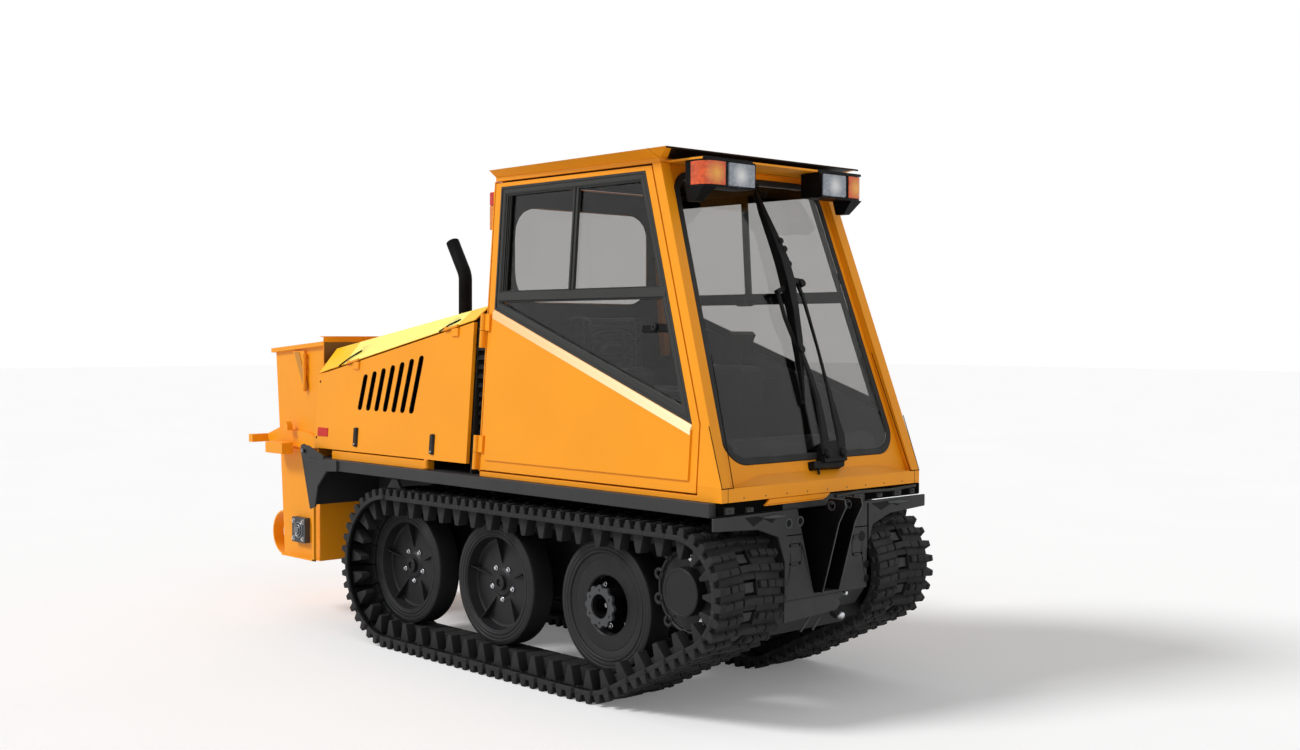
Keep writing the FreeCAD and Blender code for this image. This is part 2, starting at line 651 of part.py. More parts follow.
def make_pillars():
    over = "screen_recess"
    foot = f"({CAB_FRONT} - door_front)"
    knee = f"((door_front - pillar_width) / {RAKE_SLOPE})"
    high = f"(eave_height + {over})"
    outline = [
        (f"{CAB_FRONT} + {over} * {RAKE_SLOPE}", f"-{over}"),
        (f"{CAB_FRONT} - {high} * {RAKE_SLOPE}", high),
        (f"{CAB_FRONT} - pillar_width - {high} * {RAKE_SLOPE}", high),
        (foot, knee), (foot, f"-{over}"),
    ]
    post = rectangle(CAB_REAR, f"-{over}", f"{CAB_REAR} + post_size", high)
    top = f"{EAVE} - eave_rail"
    posts = []
    for name, side in SIDES:
        pillar = leaned(f"pillar_long_{name}", side, [outline], "pillar_depth")
        keep(trim(f"pillar_{name}", pillar, BASE_TOP, top), f"front_pillar_{name}")
        rear = leaned(f"post_long_{name}", side, [post], "post_size", "door_thick + door_gap")
        posts.append(trim(f"post_{name}", rear, BASE_TOP, top))
    keep(fuse("posts_fuse", posts), "rear_posts")


def make_roof():
    front = f"({CAB_FRONT} - windshield_rake)"
    rail_loops = [
        rectangle(CAB_REAR, "-cab_top_half", front, "cab_top_half"),
        rectangle(f"{CAB_REAR} + post_size", "-cab_top_half + rail_flat",
                  f"{front} - rail_flat", "cab_top_half - rail_flat"),
    ]
    rail = plate("rail_ring", "XY", rail_loops, "eave_rail", ("0", "0", f"{EAVE} - eave_rail / 2"))
    shelf_rear = f"({front} - rail_flat / 2)"
    shelf = box("lamp_shelf", (shelf_rear, "-lamp_outer", SHELF_LOW),
                (f"{CAB_FRONT} - lamp_back - shelf_set_back - {shelf_rear}", "2 * lamp_outer", "lamp_shelf"))
    keep(fuse("eave_fuse", [rail, shelf]), "eave_frame")
    low = section("roof_low", rectangle(CAB_REAR, "-cab_top_half", front, "cab_top_half"),
                  ("0", "0", EAVE), Rotation())
    rear_half = "(cab_top_half + roof_side_rear)"
    front_half = "(cab_top_half + roof_side_front)"
    rear_edge = f"{CAB_REAR} - roof_rear"
    front_edge = f"{front} + roof_front"
    high = section("roof_high", [
        (rear_edge, f"-{rear_half}"), (front_edge, f"-{front_half}"),
        (front_edge, front_half), (rear_edge, rear_half),
    ], ("0", "0", f"{EAVE} + roof_height"), Rotation())
    keep(loft("roof_loft", [low, high]), "roof")


def make_rear_wall():
    top = f"({EAVE} - eave_rail - seat_clear)"
    rise = f"({top} - {BASE_TOP})"
    outline = [
        ("-cab_half", "deck_top + tray_height"), ("cab_half", "deck_top + tray_height"),
        ("cab_half", BASE_TOP), (half_at(rise), top), (f"-{half_at(rise)}", top),
        ("-cab_half", BASE_TOP),
    ]
    low = f"({BASE_TOP} + rear_window_low)"
    high = f"({BASE_TOP} + rear_window_high)"
    window = rectangle("-rear_window_half", low, "rear_window_half", high)
    middle = f"{CAB_REAR} - seat_clear - wall_plate / 2"
    wall = plate("rear_wall_plate", "YZ", [outline, window], "wall_plate", (middle, "0", "0"))
    keep(round_corners(wall, 6, 10, "rear_window_round"), "cab_rear_wall")
    edge = "seat_clear"
    pane = rectangle(f"-rear_window_half + {edge}", f"{low} + {edge}",
                     f"rear_window_half - {edge}", f"{high} - {edge}")
    glass = plate("rear_pane", "YZ", [pane], "glass_thick", (middle, "0", "0"))
    keep(round_corners(glass, 0, 4, f"rear_window_round - {edge}"), "rear_glass")


def screen_points(inset, low, high):
    """Four corners in the raked front plane, inside the pillars by inset."""
    def half(up):
        return f"(cab_half - pillar_depth / cos({LEAN}) - ({up}) * cos({RAKE}) * {LEAN_SLOPE} - ({inset}))"
    return [(f"-{half(low)}", low), (half(low), low), (half(high), high), (f"-{half(high)}", high)]


def raked(name, loops, thickness, depth):
    """A plate in the raked front plane, its front face depth behind it."""
    back = f"(screen_recess + {depth} + ({thickness}) / 2)"
    base = (f"{CAB_FRONT} - {back} * cos({RAKE})", "0", f"{BASE_TOP} - {back} * sin({RAKE})")
    return plate(name, "YZ", loops, thickness, base, (Vector(0, 1, 0), f"-{RAKE}"))


def make_windshield():
    length = f"(eave_height / cos({RAKE}))"
    top = f"({length} - screen_high)"
    hole = screen_points("screen_edge", "screen_low", top)
    panel = screen_points("4 * seat_clear", "-screen_recess", f"{length} + screen_recess")
    blank = raked("screen_panel_long", [panel, hole],
                  "panel_plate", "0")
    round_corners(blank, 4, 8, "screen_round")
    keep(trim("screen_panel", blank, f"{BASE_TOP} + seat_clear", f"{EAVE} - eave_rail - seat_clear"),
         "windshield_panel")
    edge = "seat_clear"
    inner = "(screen_edge + gasket_width)"
    ring = [
        screen_points(f"screen_edge + {edge}", f"screen_low + {edge}", f"{top} - {edge}"),
        screen_points(inner, "screen_low + gasket_width", f"{top} - gasket_width"),
    ]
    gasket = raked("gasket_ring", ring, "gasket_thick", "(panel_plate - gasket_thick) / 2")
    round_corners(gasket, 0, 4, f"screen_round - {edge}")
    round_corners(gasket, 4, 8, "screen_round - gasket_width")
    keep(gasket, "windshield_gasket")
    pane = screen_points(f"{inner} + {edge}", f"screen_low + gasket_width + {edge}",
                         f"{top} - gasket_width - {edge}")
    glass = raked("screen_pane", [pane], "glass_thick", "(panel_plate - glass_thick) / 2")
    round_corners(glass, 0, 4, f"screen_round - gasket_width - {edge}")
    keep(glass, "windshield")


# -------------------------------------------------------------------- doors

DOOR_HINGES = (("low", "hinge_low"), ("high", "hinge_high"))
DOOR_REAR = f"({CAB_REAR} + door_gap)"
DOOR_TOP = "(eave_height - eave_rail - door_gap)"
WINDOW_TOP = f"({DOOR_TOP} - sash_width / 2)"
WINDOW_REAR = f"({DOOR_REAR} + door_rim)"


def along_rake(width):
    """How far a width square to the raked front reaches along X."""
    return f"({width} / cos({RAKE}))"


def door_edge(height):
    """The door's raked front edge at a height above the base."""
    return f"({CAB_FRONT} - pillar_width - {along_rake('door_gap')} - {RAKE_SLOPE} * ({height}))"


def window_edge(height):
    return f"({door_edge(height)} - door_rim)"


def sill(along):
    """Height of the window's sloping lower edge, along from its rear end."""
    run = f"({window_edge('window_low_front')} - {WINDOW_REAR})"
    return f"(window_low_rear - (window_low_rear - window_low_front) * ({along}) / {run})"


def window_loop(inset):
    """The window's outline, inset on all sides."""
    rear = f"({WINDOW_REAR} + {inset})"
    top = f"({WINDOW_TOP} - {inset})"
    edge = along_rake(inset)
    low_front = f"(window_low_front + 2 * {inset})"
    return [
        (rear, f"{sill(inset)} + {edge}"), (f"{window_edge(low_front)} - {edge}", low_front),
        (f"{window_edge(top)} - {edge}", top), (rear, top),
    ]


def make_door(name, side):
    front = f"({CAB_FRONT} - door_front - door_gap)"
    knee = f"((door_front - pillar_width) / {RAKE_SLOPE})"
    outline = [
        (DOOR_REAR, "-door_low"), (front, "-door_low"), (front, knee),
        (door_edge(DOOR_TOP), DOOR_TOP), (DOOR_REAR, DOOR_TOP),
    ]
    slab = leaned(f"door_slab_{name}", side, [outline, window_loop("0")], "door_thick")
    skin = [
        (f"{DOOR_REAR} + door_rim", "skin_edge"), (f"{front} - door_rim", "skin_edge"),
        (f"{front} - door_rim", "window_low_front - skin_edge"),
        (f"{DOOR_REAR} + door_rim", "window_low_rear - skin_edge"),
    ]
    raised = leaned(f"door_skin_{name}", side, [skin], "2 * skin_rise", "-skin_rise")
    pieces = [slab, raised]
    for tag, height in DOOR_HINGES:
        top = f"({height} + barrel_length / 2 - hinge_gap)"
        leaf = rectangle(f"{CAB_REAR} - barrel_offset", height, f"{DOOR_REAR} + door_rim / 2", top)
        pieces.append(leaned(f"door_leaf_{tag}_{name}", side, [leaf], "leaf_plate",
                             "-leaf_plate - barrel_out / 2"))
        pad = rectangle(f"{DOOR_REAR} + hinge_gap", height, f"{DOOR_REAR} + door_rim / 2", top)
        pieces.append(leaned(f"door_pad_{tag}_{name}", side, [pad], "barrel_out / 2 + leaf_plate",
                             "-(barrel_out + leaf_plate) / 2"))
        pieces.append(barrel(f"door_barrel_{tag}_{name}", side, f"{height} + hinge_gap",
                             "barrel_length / 2 - 2 * hinge_gap"))
    keep(fuse(f"door_fuse_{name}", pieces), f"door_{name}")
    make_window(name, side)


def barrel(name, side, height, length):
    """A hinge barrel on the door's leaning hinge line."""
    item = doc.addObject("Part::Cylinder", name)
    item.Placement = Placement(Vector(), Rotation(Vector(1, 0, 0), 1))
    bind(item, "Placement.Rotation.Angle", f"{side} * {LEAN}")
    bind(item, "Radius", "barrel_radius")
    bind(item, "Height", length)
    out = f"(cab_half + barrel_out * cos({LEAN}) - ({height}) * sin({LEAN}))"
    up = f"({BASE_TOP} + barrel_out * sin({LEAN}) + ({height}) * cos({LEAN}))"
    place(item, (f"{CAB_REAR} - barrel_offset", f"{side} * {out}", up))
    return item


def make_hinges():
    """The cab's halves of the doors' hinges."""
    pieces = []
    for name, side in SIDES:
        for tag, height in DOOR_HINGES:
            start = f"({height} - barrel_length / 2)"
            pieces.append(barrel(f"cab_barrel_{tag}_{name}", side, start, "barrel_length / 2 - hinge_gap"))
            leaf = rectangle(f"{CAB_REAR} - barrel_offset", start,
                             f"{CAB_REAR} - wall_plate - 2 * seat_clear", f"{height} - hinge_gap")
            pieces.append(leaned(f"cab_leaf_{tag}_{name}", side, [leaf], "barrel_out + leaf_plate",
                                 "-barrel_out"))
    keep(fuse("hinge_fuse", pieces), "door_hinges")


def make_window(name, side):
    inner = window_loop("(sash_width + seat_clear)")
    bar_low = "(sash_bar_height)"
    bar_high = "(sash_bar_height + sash_bar)"
    rear = inner[0][0]
    top = inner[3][1]
    edge = along_rake("sash_width")
    low_pane = [inner[0], inner[1], (f"{window_edge(bar_low)} - {edge}", bar_low), (rear, bar_low)]
    high_pane = [
        (rear, bar_high), (f"{window_edge(bar_high)} - {edge}", bar_high),
        (f"{window_edge(top)} - {edge}", top), (rear, top),
    ]
    outer = window_loop("seat_clear")
    keep(leaned(f"sash_ring_{name}", side, [outer, low_pane, high_pane], "sash_thick", "sash_set_in"),
         f"window_frame_{name}")
    keep(leaned(f"door_pane_{name}", side, [window_loop("sash_width / 6")], "glass_thick",
                "(sash_set_in + sash_thick + seat_clear)"), f"door_glass_{name}")


# --------------------------------------------------------------------- hood

PANEL_SLOPE = "((hood_front_side - hood_rear_side) / hood_length)"
HOOD_HINGES = (("rear", "hinge_rear"), ("front", "(hood_length - hinge_front)"))


def side_line(along):
    """Height of the side panels' sloping top, along from the hood's rear."""
    return f"(hood_rear_side + {PANEL_SLOPE} * ({along}))"


def make_hood_panel(name, side):
    rear = f"({HOOD_REAR} + door_gap)"
    front = f"({HOOD_FRONT} - door_gap)"
    low = "(0 - door_gap)"
    outline = [
        (rear, low), (front, low),
        (front, f"{side_line('hood_length - door_gap')} - door_gap"),
        (rear, f"{side_line('door_gap')} - door_gap"),
    ]
    loops = [outline]
    for i in range(7):
        start = f"({HOOD_REAR} + slot_first + {i} * slot_pitch)"
        rise = f"(slot_height + {i} * slot_growth)"
        shift = f"({rise} * tan(slot_angle))"
        loops.append([
            (start, "slot_low"), (f"{start} + slot_width", "slot_low"),
            (f"{start} + slot_width + {shift}", f"slot_low + {rise}"),
            (f"{start} + {shift}", f"slot_low + {rise}"),
        ])
    panel = leaned(f"hood_slab_{name}", side, loops, "panel_thick")
    pieces = [panel]
    for tag, along in HOOD_HINGES:
        pieces.append(hood_barrel(f"panel_barrel_{tag}_{name}", side, along, 1))
        leaf = rectangle(f"{HOOD_REAR} + {along} + hinge_split", f"{side_line(along)} - 6 * hinge_barrel",
                         f"{HOOD_REAR} + {along} + hood_hinge / 2 - hinge_split", side_line(along))
        pieces.append(leaned(f"panel_leaf_{tag}_{name}", side, [leaf], "hinge_out + hinge_split", "-hinge_out"))
    keep(fuse(f"panel_fuse_{name}", pieces), f"hood_panel_{name}")


def hood_barrel(name, side, along, direction):
    """Half a hinge barrel on a panel's hinge line, ahead of or behind a place."""
    place_on_line = f"({HOOD_REAR} + {along})"
    half = f"({half_at(side_line(along))} + hinge_out)"
    point = Vector(number(place_on_line), side * number(half), number(f"{BASE_TOP} + {side_line(along)}"))
    run = Vector(sheet.hood_length, -side * number(f"{PANEL_SLOPE} * hood_length * {LEAN_SLOPE}"),
                 number(f"{PANEL_SLOPE} * hood_length"))
    item = doc.addObject("Part::Feature", name)
    start = point + run.normalize() * direction * sheet.seat_clear
    item.Shape = Part.makeCylinder(sheet.hinge_barrel, sheet.hood_hinge / 2 - sheet.hinge_split,
                                   start, run * direction)
    return item


def make_hood_top():
    stations = [
        (HOOD_FRONT, "hood_front_side", "hood_front_top", "hood_top_half"),
        (f"({HOOD_REAR} + hood_break)", side_line("hood_break"), "hood_break_top", "hood_top_half"),
        (HOOD_REAR, "hood_rear_side", "hood_rear_top", "hood_top_half + rear_spread"),
    ]
    outer, inner = [], []
    for index, (station, side_height, top_height, top_half) in enumerate(stations):
        half = half_at(side_height)
        low = f"({BASE_TOP} + {side_height})"
        high = f"({BASE_TOP} + {top_height})"
        turn = Rotation(Vector(1, 1, 1), 120)
        outer.append(section(f"hood_outer_{index}", [
            (f"-{half}", low), (half, low), (top_half, high), (f"-({top_half})", high),
        ], (station, "0", "0"), turn))
        beyond = ("hood_plate", "0", "-hood_plate")[index]
        inside = [
            (f"({half} - hood_plate)", f"{low} - 3 * hood_plate"), (f"({half} - hood_plate)", low),
            (f"({top_half} - hood_plate / 2)", f"{high} - hood_plate"),
        ]
        inner.append(section(f"hood_inner_{index}", mirrored(inside),
                             (f"{station} + {beyond}", "0", "0"), turn))
    shell = cut("hood_shell", loft("hood_outside", outer), [loft("hood_inside", inner)])
    hole = rod("hood_hole", "Z", (EXHAUST_X, "exhaust_side", BASE_TOP),
               "exhaust_radius + door_gap", "2 * eave_height")
    pieces = [cut("hood_cut", shell, [hole])]
    for name, side in SIDES:
        for tag, along in HOOD_HINGES:
            pieces.append(hood_barrel(f"top_barrel_{tag}_{name}", side, along, -1))
            pieces.append(hood_leaf(f"top_leaf_{tag}_{name}", side, along))
    keep(fuse("hood_fuse", pieces), "hood_top")


def hood_leaf(name, side, along):
    """The hood's half of a hinge, from its barrel onto the edge of the sheet."""
    half = half_at(side_line(along))
    low = f"({BASE_TOP} + {side_line(along)})"
    block = [
        (f"{side} * ({half} + hinge_out)", f"{low} - hinge_split"),
        (f"{side} * ({half} + hinge_out)", f"{low} + hinge_split"),
        (f"{side} * ({half} - hood_plate / 2)", f"{low} + hinge_split"),
        (f"{side} * ({half} - hood_plate / 2)", f"{low} - hinge_split"),
    ]
    middle = f"{HOOD_REAR} + {along} - hood_hinge / 4"
    return plate(name, "YZ", [block], "hood_hinge / 2 - 2 * hinge_split", (middle, "0", "0"))


def wall_outline(side_height, top_height, top_half):
    inside = "(panel_thick + door_gap)"
    return mirrored([
        (f"(cab_half - {inside})", "deck_top"), (f"(cab_half - {inside})", BASE_TOP),
        (f"({half_at(side_height)} - {inside})", f"{BASE_TOP} + {side_height}"),
        (f"({top_half} - 2 * hood_plate)", f"{BASE_TOP} + {top_height}"),
    ])


def make_hood_walls():
    front_slope = "((hood_front_top - hood_break_top) / (hood_length - hood_break))"
    top = f"(hood_front_top - hood_plate - seat_clear - (hood_wall + hood_plate) * {front_slope})"
    side = "(hood_front_side - hood_wall)"
    keep(plate("bulkhead_plate", "YZ", [wall_outline(side, top, "hood_top_half")], "hood_wall",
               (f"{HOOD_FRONT} - hood_wall / 2", "0", "0")), "engine_bulkhead")
    outline = wall_outline("(hood_rear_side - hood_wall)", "(hood_rear_top - hood_plate - seat_clear)",
                           "(hood_top_half + rear_spread - door_gap)")
    keep(plate("hood_rear_plate", "YZ", [outline], "hood_wall",
               (f"{HOOD_REAR} + hood_wall / 2", "0", "0")), "hood_rear_wall")
    rails = []
    for name, side in SIDES:
        y = f"{side} * (cab_half - rail_width / 2) - rail_width / 2"
        start = f"({HOOD_REAR} + rail_rear)"
        rails.append(box(f"rail_{name}", (start, y, "deck_top"),
                         (f"{HOOD_FRONT} - rail_front - {start}", "rail_width", "rail_height")))
    keep(fuse("rails_fuse", rails), "hood_rails")


ENGINE_REAR = f"({HOOD_FRONT} - engine_gap - engine_length)"
ENGINE_TOP = "(deck_top + engine_height)"
EXHAUST_X = f"({HOOD_FRONT} - exhaust_place)"


def make_engine():
    keep(box("engine_block", (ENGINE_REAR, "-engine_width / 2", "deck_top"),
             ("engine_length", "engine_width", "engine_height")), "engine")


def make_exhaust():
    """A pipe that rises from the engine and leans back at its top."""
    foot = Vector(number(EXHAUST_X), number("exhaust_side"), number(ENGINE_TOP))
    bend = Vector(foot.x, foot.y, sheet.exhaust_bend)
    end = Vector(foot.x - sheet.exhaust_lean, foot.y, sheet.exhaust_end)
    into = (end - bend).normalize()
    turn = Vector(0, 0, 1).getAngle(into)
    reach = 3 * sheet.exhaust_radius * math.tan(turn / 2)
    start, stop = bend - Vector(0, 0, reach), bend + into * reach
    centre = start + Vector(-1, 0, 0) * 3 * sheet.exhaust_radius
    middle = centre + Vector(math.cos(turn / 2), 0, math.sin(turn / 2)) * 3 * sheet.exhaust_radius
    path = Part.Wire([
        Part.LineSegment(foot, start).toShape(),
        Part.Arc(start, middle, stop).toShape(),
        Part.LineSegment(stop, end).toShape(),
    ])
    shapes = []
    for radius in (sheet.exhaust_radius, sheet.exhaust_bore):
        ring = Part.Wire(Part.makeCircle(radius, foot, Vector(0, 0, 1)))
        shapes.append(path.makePipeShell([ring], True, False))
    item = doc.addObject("Part::Feature", "exhaust_pipe")
    item.Shape = shapes[0].cut(shapes[1])
    keep(item, "exhaust")


# ----------------------------------------------------------- lights, inside

def make_lights():
    front = f"({CAB_FRONT} - lamp_back)"
    tails = []
    for name, side in SIDES:
        y = f"{side} * (lamp_outer - lamp_width / 2) - lamp_width / 2"
        keep(box(f"lamp_{name}", (f"{front} - lamp_depth", y, f"{SHELF_LOW} - seat_clear - lamp_height"),
                 ("lamp_depth", "lamp_width", "lamp_height")), f"work_light_{name}")
        tail_top = "(eave_height - 2 * roof_height)"
        y = f"{side} * ({half_at(tail_top)} - tail_width / 2 - seat_clear) - tail_width / 2"
        tails.append(box(f"tail_{name}", (f"{CAB_REAR} - wall_plate - 2 * seat_clear - tail_depth", y,
                                          f"{BASE_TOP} + {tail_top} - tail_height"),
                         ("tail_depth", "tail_width", "tail_height")))
    keep(fuse("tails_fuse", tails), "tail_lamps")


CONSOLE_MIDDLE = "(seat_width / 2 + console_gap + console_width / 2)"


def make_interior():
    floor = BASE_TOP
    rear = f"({CAB_REAR} + seat_back)"
    keep(box("seat_box", (f"{rear} + seat_foot", "-seat_width / 2 + seat_foot", floor),
             ("seat_depth - seat_foot", "seat_width - 2 * seat_foot", "seat_height - cushion - seat_clear")),
         "seat_base")
    cushion_low = f"({floor} + seat_height - cushion)"
    cushion = box("seat_cushion", (rear, "-seat_width / 2", cushion_low),
                  ("seat_depth", "seat_width", "cushion"))
    back = box("seat_backrest", (rear, "-seat_width / 2", cushion_low),
               ("back_thick", "seat_width", "cushion + backrest"))
    keep(fuse("seat_fuse", [cushion, back]), "seat")
    consoles = []
    for name, side in SIDES:
        y = f"{side} * {CONSOLE_MIDDLE} - console_width / 2"
        consoles.append(box(f"console_box_{name}", (f"{rear} + seat_foot", y, floor),
                            ("console_length", "console_width", "console_height")))
    keep(fuse("consoles_fuse", consoles), "consoles")
    lever = (f"{rear} + console_length - seat_foot", f"-{CONSOLE_MIDDLE}", f"{floor} + console_height")
    keep(rod("lever_rod", "Z", lever, "lever_radius", "lever_height"), "control_lever")


# ------------------------------------------------------------- running gear

WHEEL_HEIGHT = "(wheel_radius + seat_clear + wheel_path + track_thick)"
WHEELS = (("rear", "rear_wheel_back"), ("middle", "middle_wheel_back"), ("front", "front_wheel_back"))
SPROCKET_MIDDLE = "(track_outer - sprocket_inset)"
SPROCKET_ROOM = "(sprocket_tip - track_thick - path_slot / 10)"
FACET = math.radians(18)
LOBES = 11


def outward(angle):
    return Vector(math.cos(angle), 0, math.sin(angle))


class Bend:
    """A stretch of the belt's outer face around a wheel."""

    def __init__(self, centre, radius, first, last):
        self.centre, self.radius, self.first, self.last = centre, radius, first, last
        self.length = radius * (last - first)

    def at(self, distance):
        angle = self.first + distance / self.radius
        return self.centre + outward(angle) * self.radius, angle


class Run:
    """A straight stretch of the belt's outer face between two bends."""

    def __init__(self, start, end, angle):
        self.start, self.end, self.angle = start, end, angle
        self.length = (end - start).Length

    def at(self, distance):
        return self.start + (self.end - self.start) * (distance / self.length), self.angle


def belt_stretches():
    """The belt's outer face between its lugs: each bend and the run that follows it."""
    wheel, drop = number(WHEEL_HEIGHT), sheet.lug_height
    circles = [
        (Vector(number(f"{CAB_FRONT} - rear_wheel_back"), 0, wheel), wheel - drop),
        (Vector(number(f"{CAB_FRONT} - front_wheel_back"), 0, wheel), wheel - drop),
        (Vector(number(f"{CAB_FRONT} - sprocket_back"), 0, sheet.sprocket_height), sheet.sprocket_tip - drop),
    ]
    pairs = list(zip(circles, circles[1:] + circles[:1]))
    angles = []
    for (start, start_radius), (end, end_radius) in pairs:
        span = end - start
        heading = math.atan2(span.z, span.x)
        angles.append(heading - math.acos((start_radius - end_radius) / span.Length))
    stretches = []
    for i, ((centre, radius), (following, following_radius)) in enumerate(pairs):
        first, last = angles[i - 1], angles[i]
        while last < first:
            last += 2 * math.pi
        stretches.append(Bend(centre, radius, first, last))
        start = centre + outward(last) * radius
        end = following + outward(last) * following_radius
        stretches.append(Run(start, end, last))
    return stretches


def spaced(stretches, count):
    """Places (point, outward, forward) in even steps along the belt's outer face."""
    step = sum(stretch.length for stretch in stretches) / count
    places = []
    for i in range(count):
        distance = (i + 0.5) * step
        for stretch in stretches:
            if distance <= stretch.length:
                point, angle = stretch.at(distance)
                places.append((point, outward(angle), outward(angle + math.pi / 2)))
                break
            distance -= stretch.length
    return places


def prism(points, low, high):
    """A closed outline in the XZ plane made solid from y = low to y = high."""
    wire = Part.makePolygon(points + points[:1])
    face = Part.Face(wire)
    face.translate(Vector(0, low, 0))
    return face.extrude(Vector(0, high - low, 0))


def trapezoid(place, base, base_height, tip, tip_height):
    """Corners of a tooth on the belt's face, heights outward from that face."""
    point, out, forward = place
    return [
        point - forward * base / 2 + out * base_height, point - forward * tip / 2 + out * tip_height,
        point + forward * tip / 2 + out * tip_height, point + forward * base / 2 + out * base_height,
    ]


def inside_outline(stretches, inset):
    """The belt's line this far inside its outer face, with facets around the bends."""
    points = []
    for bend in stretches[::2]:
        facets = math.ceil((bend.last - bend.first) / FACET)
        step = (bend.last - bend.first) / facets
        radius = (bend.radius - inset) / math.cos(step / 2)
        points += [bend.centre + outward(bend.first + (i + 0.5) * step) * radius for i in range(facets)]
    return points


def make_track(name, side):
    def banded(points, low, high):
        low, high = sorted((side * low, side * high))
        return prism(points, low, high)

    stretches = belt_stretches()
    guides = round(sum(stretch.length for stretch in stretches) / (2 * sheet.lug_pitch))
    outline = []
    for place_ in spaced(stretches, 2 * guides):
        outline += trapezoid(place_, sheet.lug_foot, 0, sheet.lug_tip, sheet.lug_height)
    outer, inner = sheet.track_outer, sheet.track_outer - sheet.track_width
    carcass = sheet.track_thick - sheet.lug_height
    shape = banded(outline, inner, outer).cut(banded(inside_outline(stretches, carcass), inner, outer))
    face, middle = number(WHEEL_FACE), number(SPROCKET_MIDDLE)
    root = carcass - sheet.path_root
    path_outer = inside_outline(stretches, root)
    path_inner = inside_outline(stretches, carcass + sheet.wheel_path)
    wheel_inner, slot = number(WHEEL_INNER), sheet.path_slot / 2
    slot_band = banded(path_outer, middle - slot, middle + slot)
    ring = banded(path_outer, wheel_inner, face).cut(banded(path_inner, wheel_inner, face))
    pieces = [ring.cut(slot_band)]
    guide_edge = outer - sheet.guide_inset
    for place_ in spaced(stretches, guides):
        tooth = trapezoid(place_, sheet.guide_base, -root, sheet.guide_tip, -carcass - sheet.guide_height)
        pieces.append(banded(tooth, guide_edge - sheet.guide_width, guide_edge))
    item = doc.addObject("Part::Feature", f"track_band_{name}")
    item.Shape = shape.fuse(pieces)
    keep(item, f"track_{name}")


def make_wheel(tag, back, name, side):
    depth = "flat_depth" if tag == "front" else "dish_depth"
    plane = f"({WHEEL_FACE} - {depth})"
    web = f"({WHEEL_INNER} + wheel_width / 5)"
    points = [
        ("0", plane), ("rim_radius - dish_depth / 2", plane), ("rim_radius", WHEEL_FACE),
        ("wheel_radius - shoulder", WHEEL_FACE), ("wheel_radius", f"({WHEEL_FACE} - shoulder)"),
        ("wheel_radius", f"({WHEEL_INNER} + shoulder)"), ("wheel_radius - shoulder", WHEEL_INNER),
        ("rim_radius", WHEEL_INNER), ("rim_radius", web), ("hub_radius", web),
        ("hub_radius", WHEEL_INNER), ("0", WHEEL_INNER),
    ]
    points = [(radius, f"{side} * {y}") for radius, y in points]
    centre = (f"{CAB_FRONT} - {back}", "0", WHEEL_HEIGHT)
    keep(turned(f"wheel_{tag}_{name}_body", centre, points), f"wheel_{tag}_{name}")


def make_sprocket(name, side):
    """A lobed ring around the final drive."""
    x, height = f"({CAB_FRONT} - sprocket_back)", "sprocket_height"
    low = f"({SPROCKET_MIDDLE} - sprocket_width / 2)"
    high = f"({SPROCKET_MIDDLE} + sprocket_width / 2)"
    start = low if side > 0 else f"-{high}"
    reach = f"({SPROCKET_ROOM} - lobe_radius)"
    centre = (x, start, height)
    pieces = [rod(f"sprocket_ring_{name}", "Y", centre, reach, "sprocket_width")]
    holes = [rod(f"sprocket_bore_{name}", "Y", centre, "drive_radius + seat_clear", "sprocket_width")]
    for i in range(LOBES):
        centre = (f"{x} + {reach} * cos({i} * 360 / {LOBES})", start,
                  f"{height} + {reach} * sin({i} * 360 / {LOBES})")
        pieces.append(rod(f"lobe_{i}_{name}", "Y", centre, "lobe_radius", "sprocket_width"))
        holes.append(rod(f"lobe_hole_{i}_{name}", "Y", centre, "lobe_hole", "sprocket_width"))
    keep(cut(f"sprocket_cut_{name}", fuse(f"sprocket_fuse_{name}", pieces), holes), f"sprocket_{name}")


def make_final_drive(name, side):
    centre = (f"{CAB_FRONT} - sprocket_back", "0", "sprocket_height")
    step = f"({SPROCKET_MIDDLE} - sprocket_width)"
    face, cap = "(track_outer - drive_inset)", "(track_outer - cap_inset)"
    root = f"({HULL_HALF} + seat_clear)"
    outline = [
        ("0", root), ("drive_neck", root), ("drive_neck", step), ("drive_radius", step),
        ("drive_radius", face), ("cap_radius", face), ("cap_radius", cap), ("0", cap),
    ]
    keep(turned(f"drive_housing_{name}", centre, [(r, f"{side} * {y}") for r, y in outline]),
         f"final_drive_{name}")


def make_running_gear(name, side, stubs):
    make_track(name, side)
    for tag, back in WHEELS:
        make_wheel(tag, back, name, side)
        low, high = f"({HULL_HALF} + seat_clear)", f"({WHEEL_INNER} - seat_clear)"
        y = low if side > 0 else f"-{high}"
        stubs.append(rod(f"stub_{tag}_{name}", "Y", (f"{CAB_FRONT} - {back}", y, WHEEL_HEIGHT),
                         "axle_radius", f"{high} - {low}"))
    make_sprocket(name, side)
    make_final_drive(name, side)


# ----------------------------------------------------------------- spreader

ROLLER_X = f"({HOPPER_FRONT} - roller_back)"


def hopper_outline():
    low_front = f"({HOPPER_FRONT} - hopper_step)"
    return [
        (HOPPER_REAR, "hopper_rim"), (f"{HOPPER_REAR} + hopper_taper / 2", "hopper_waist"),
        (f"{HOPPER_REAR} + hopper_taper", "hopper_low"), (low_front, "hopper_low"),
        (low_front, "hopper_waist - waist_slope"), (HOPPER_FRONT, "hopper_waist"),
        (HOPPER_FRONT, "hopper_rim_front"),
    ]


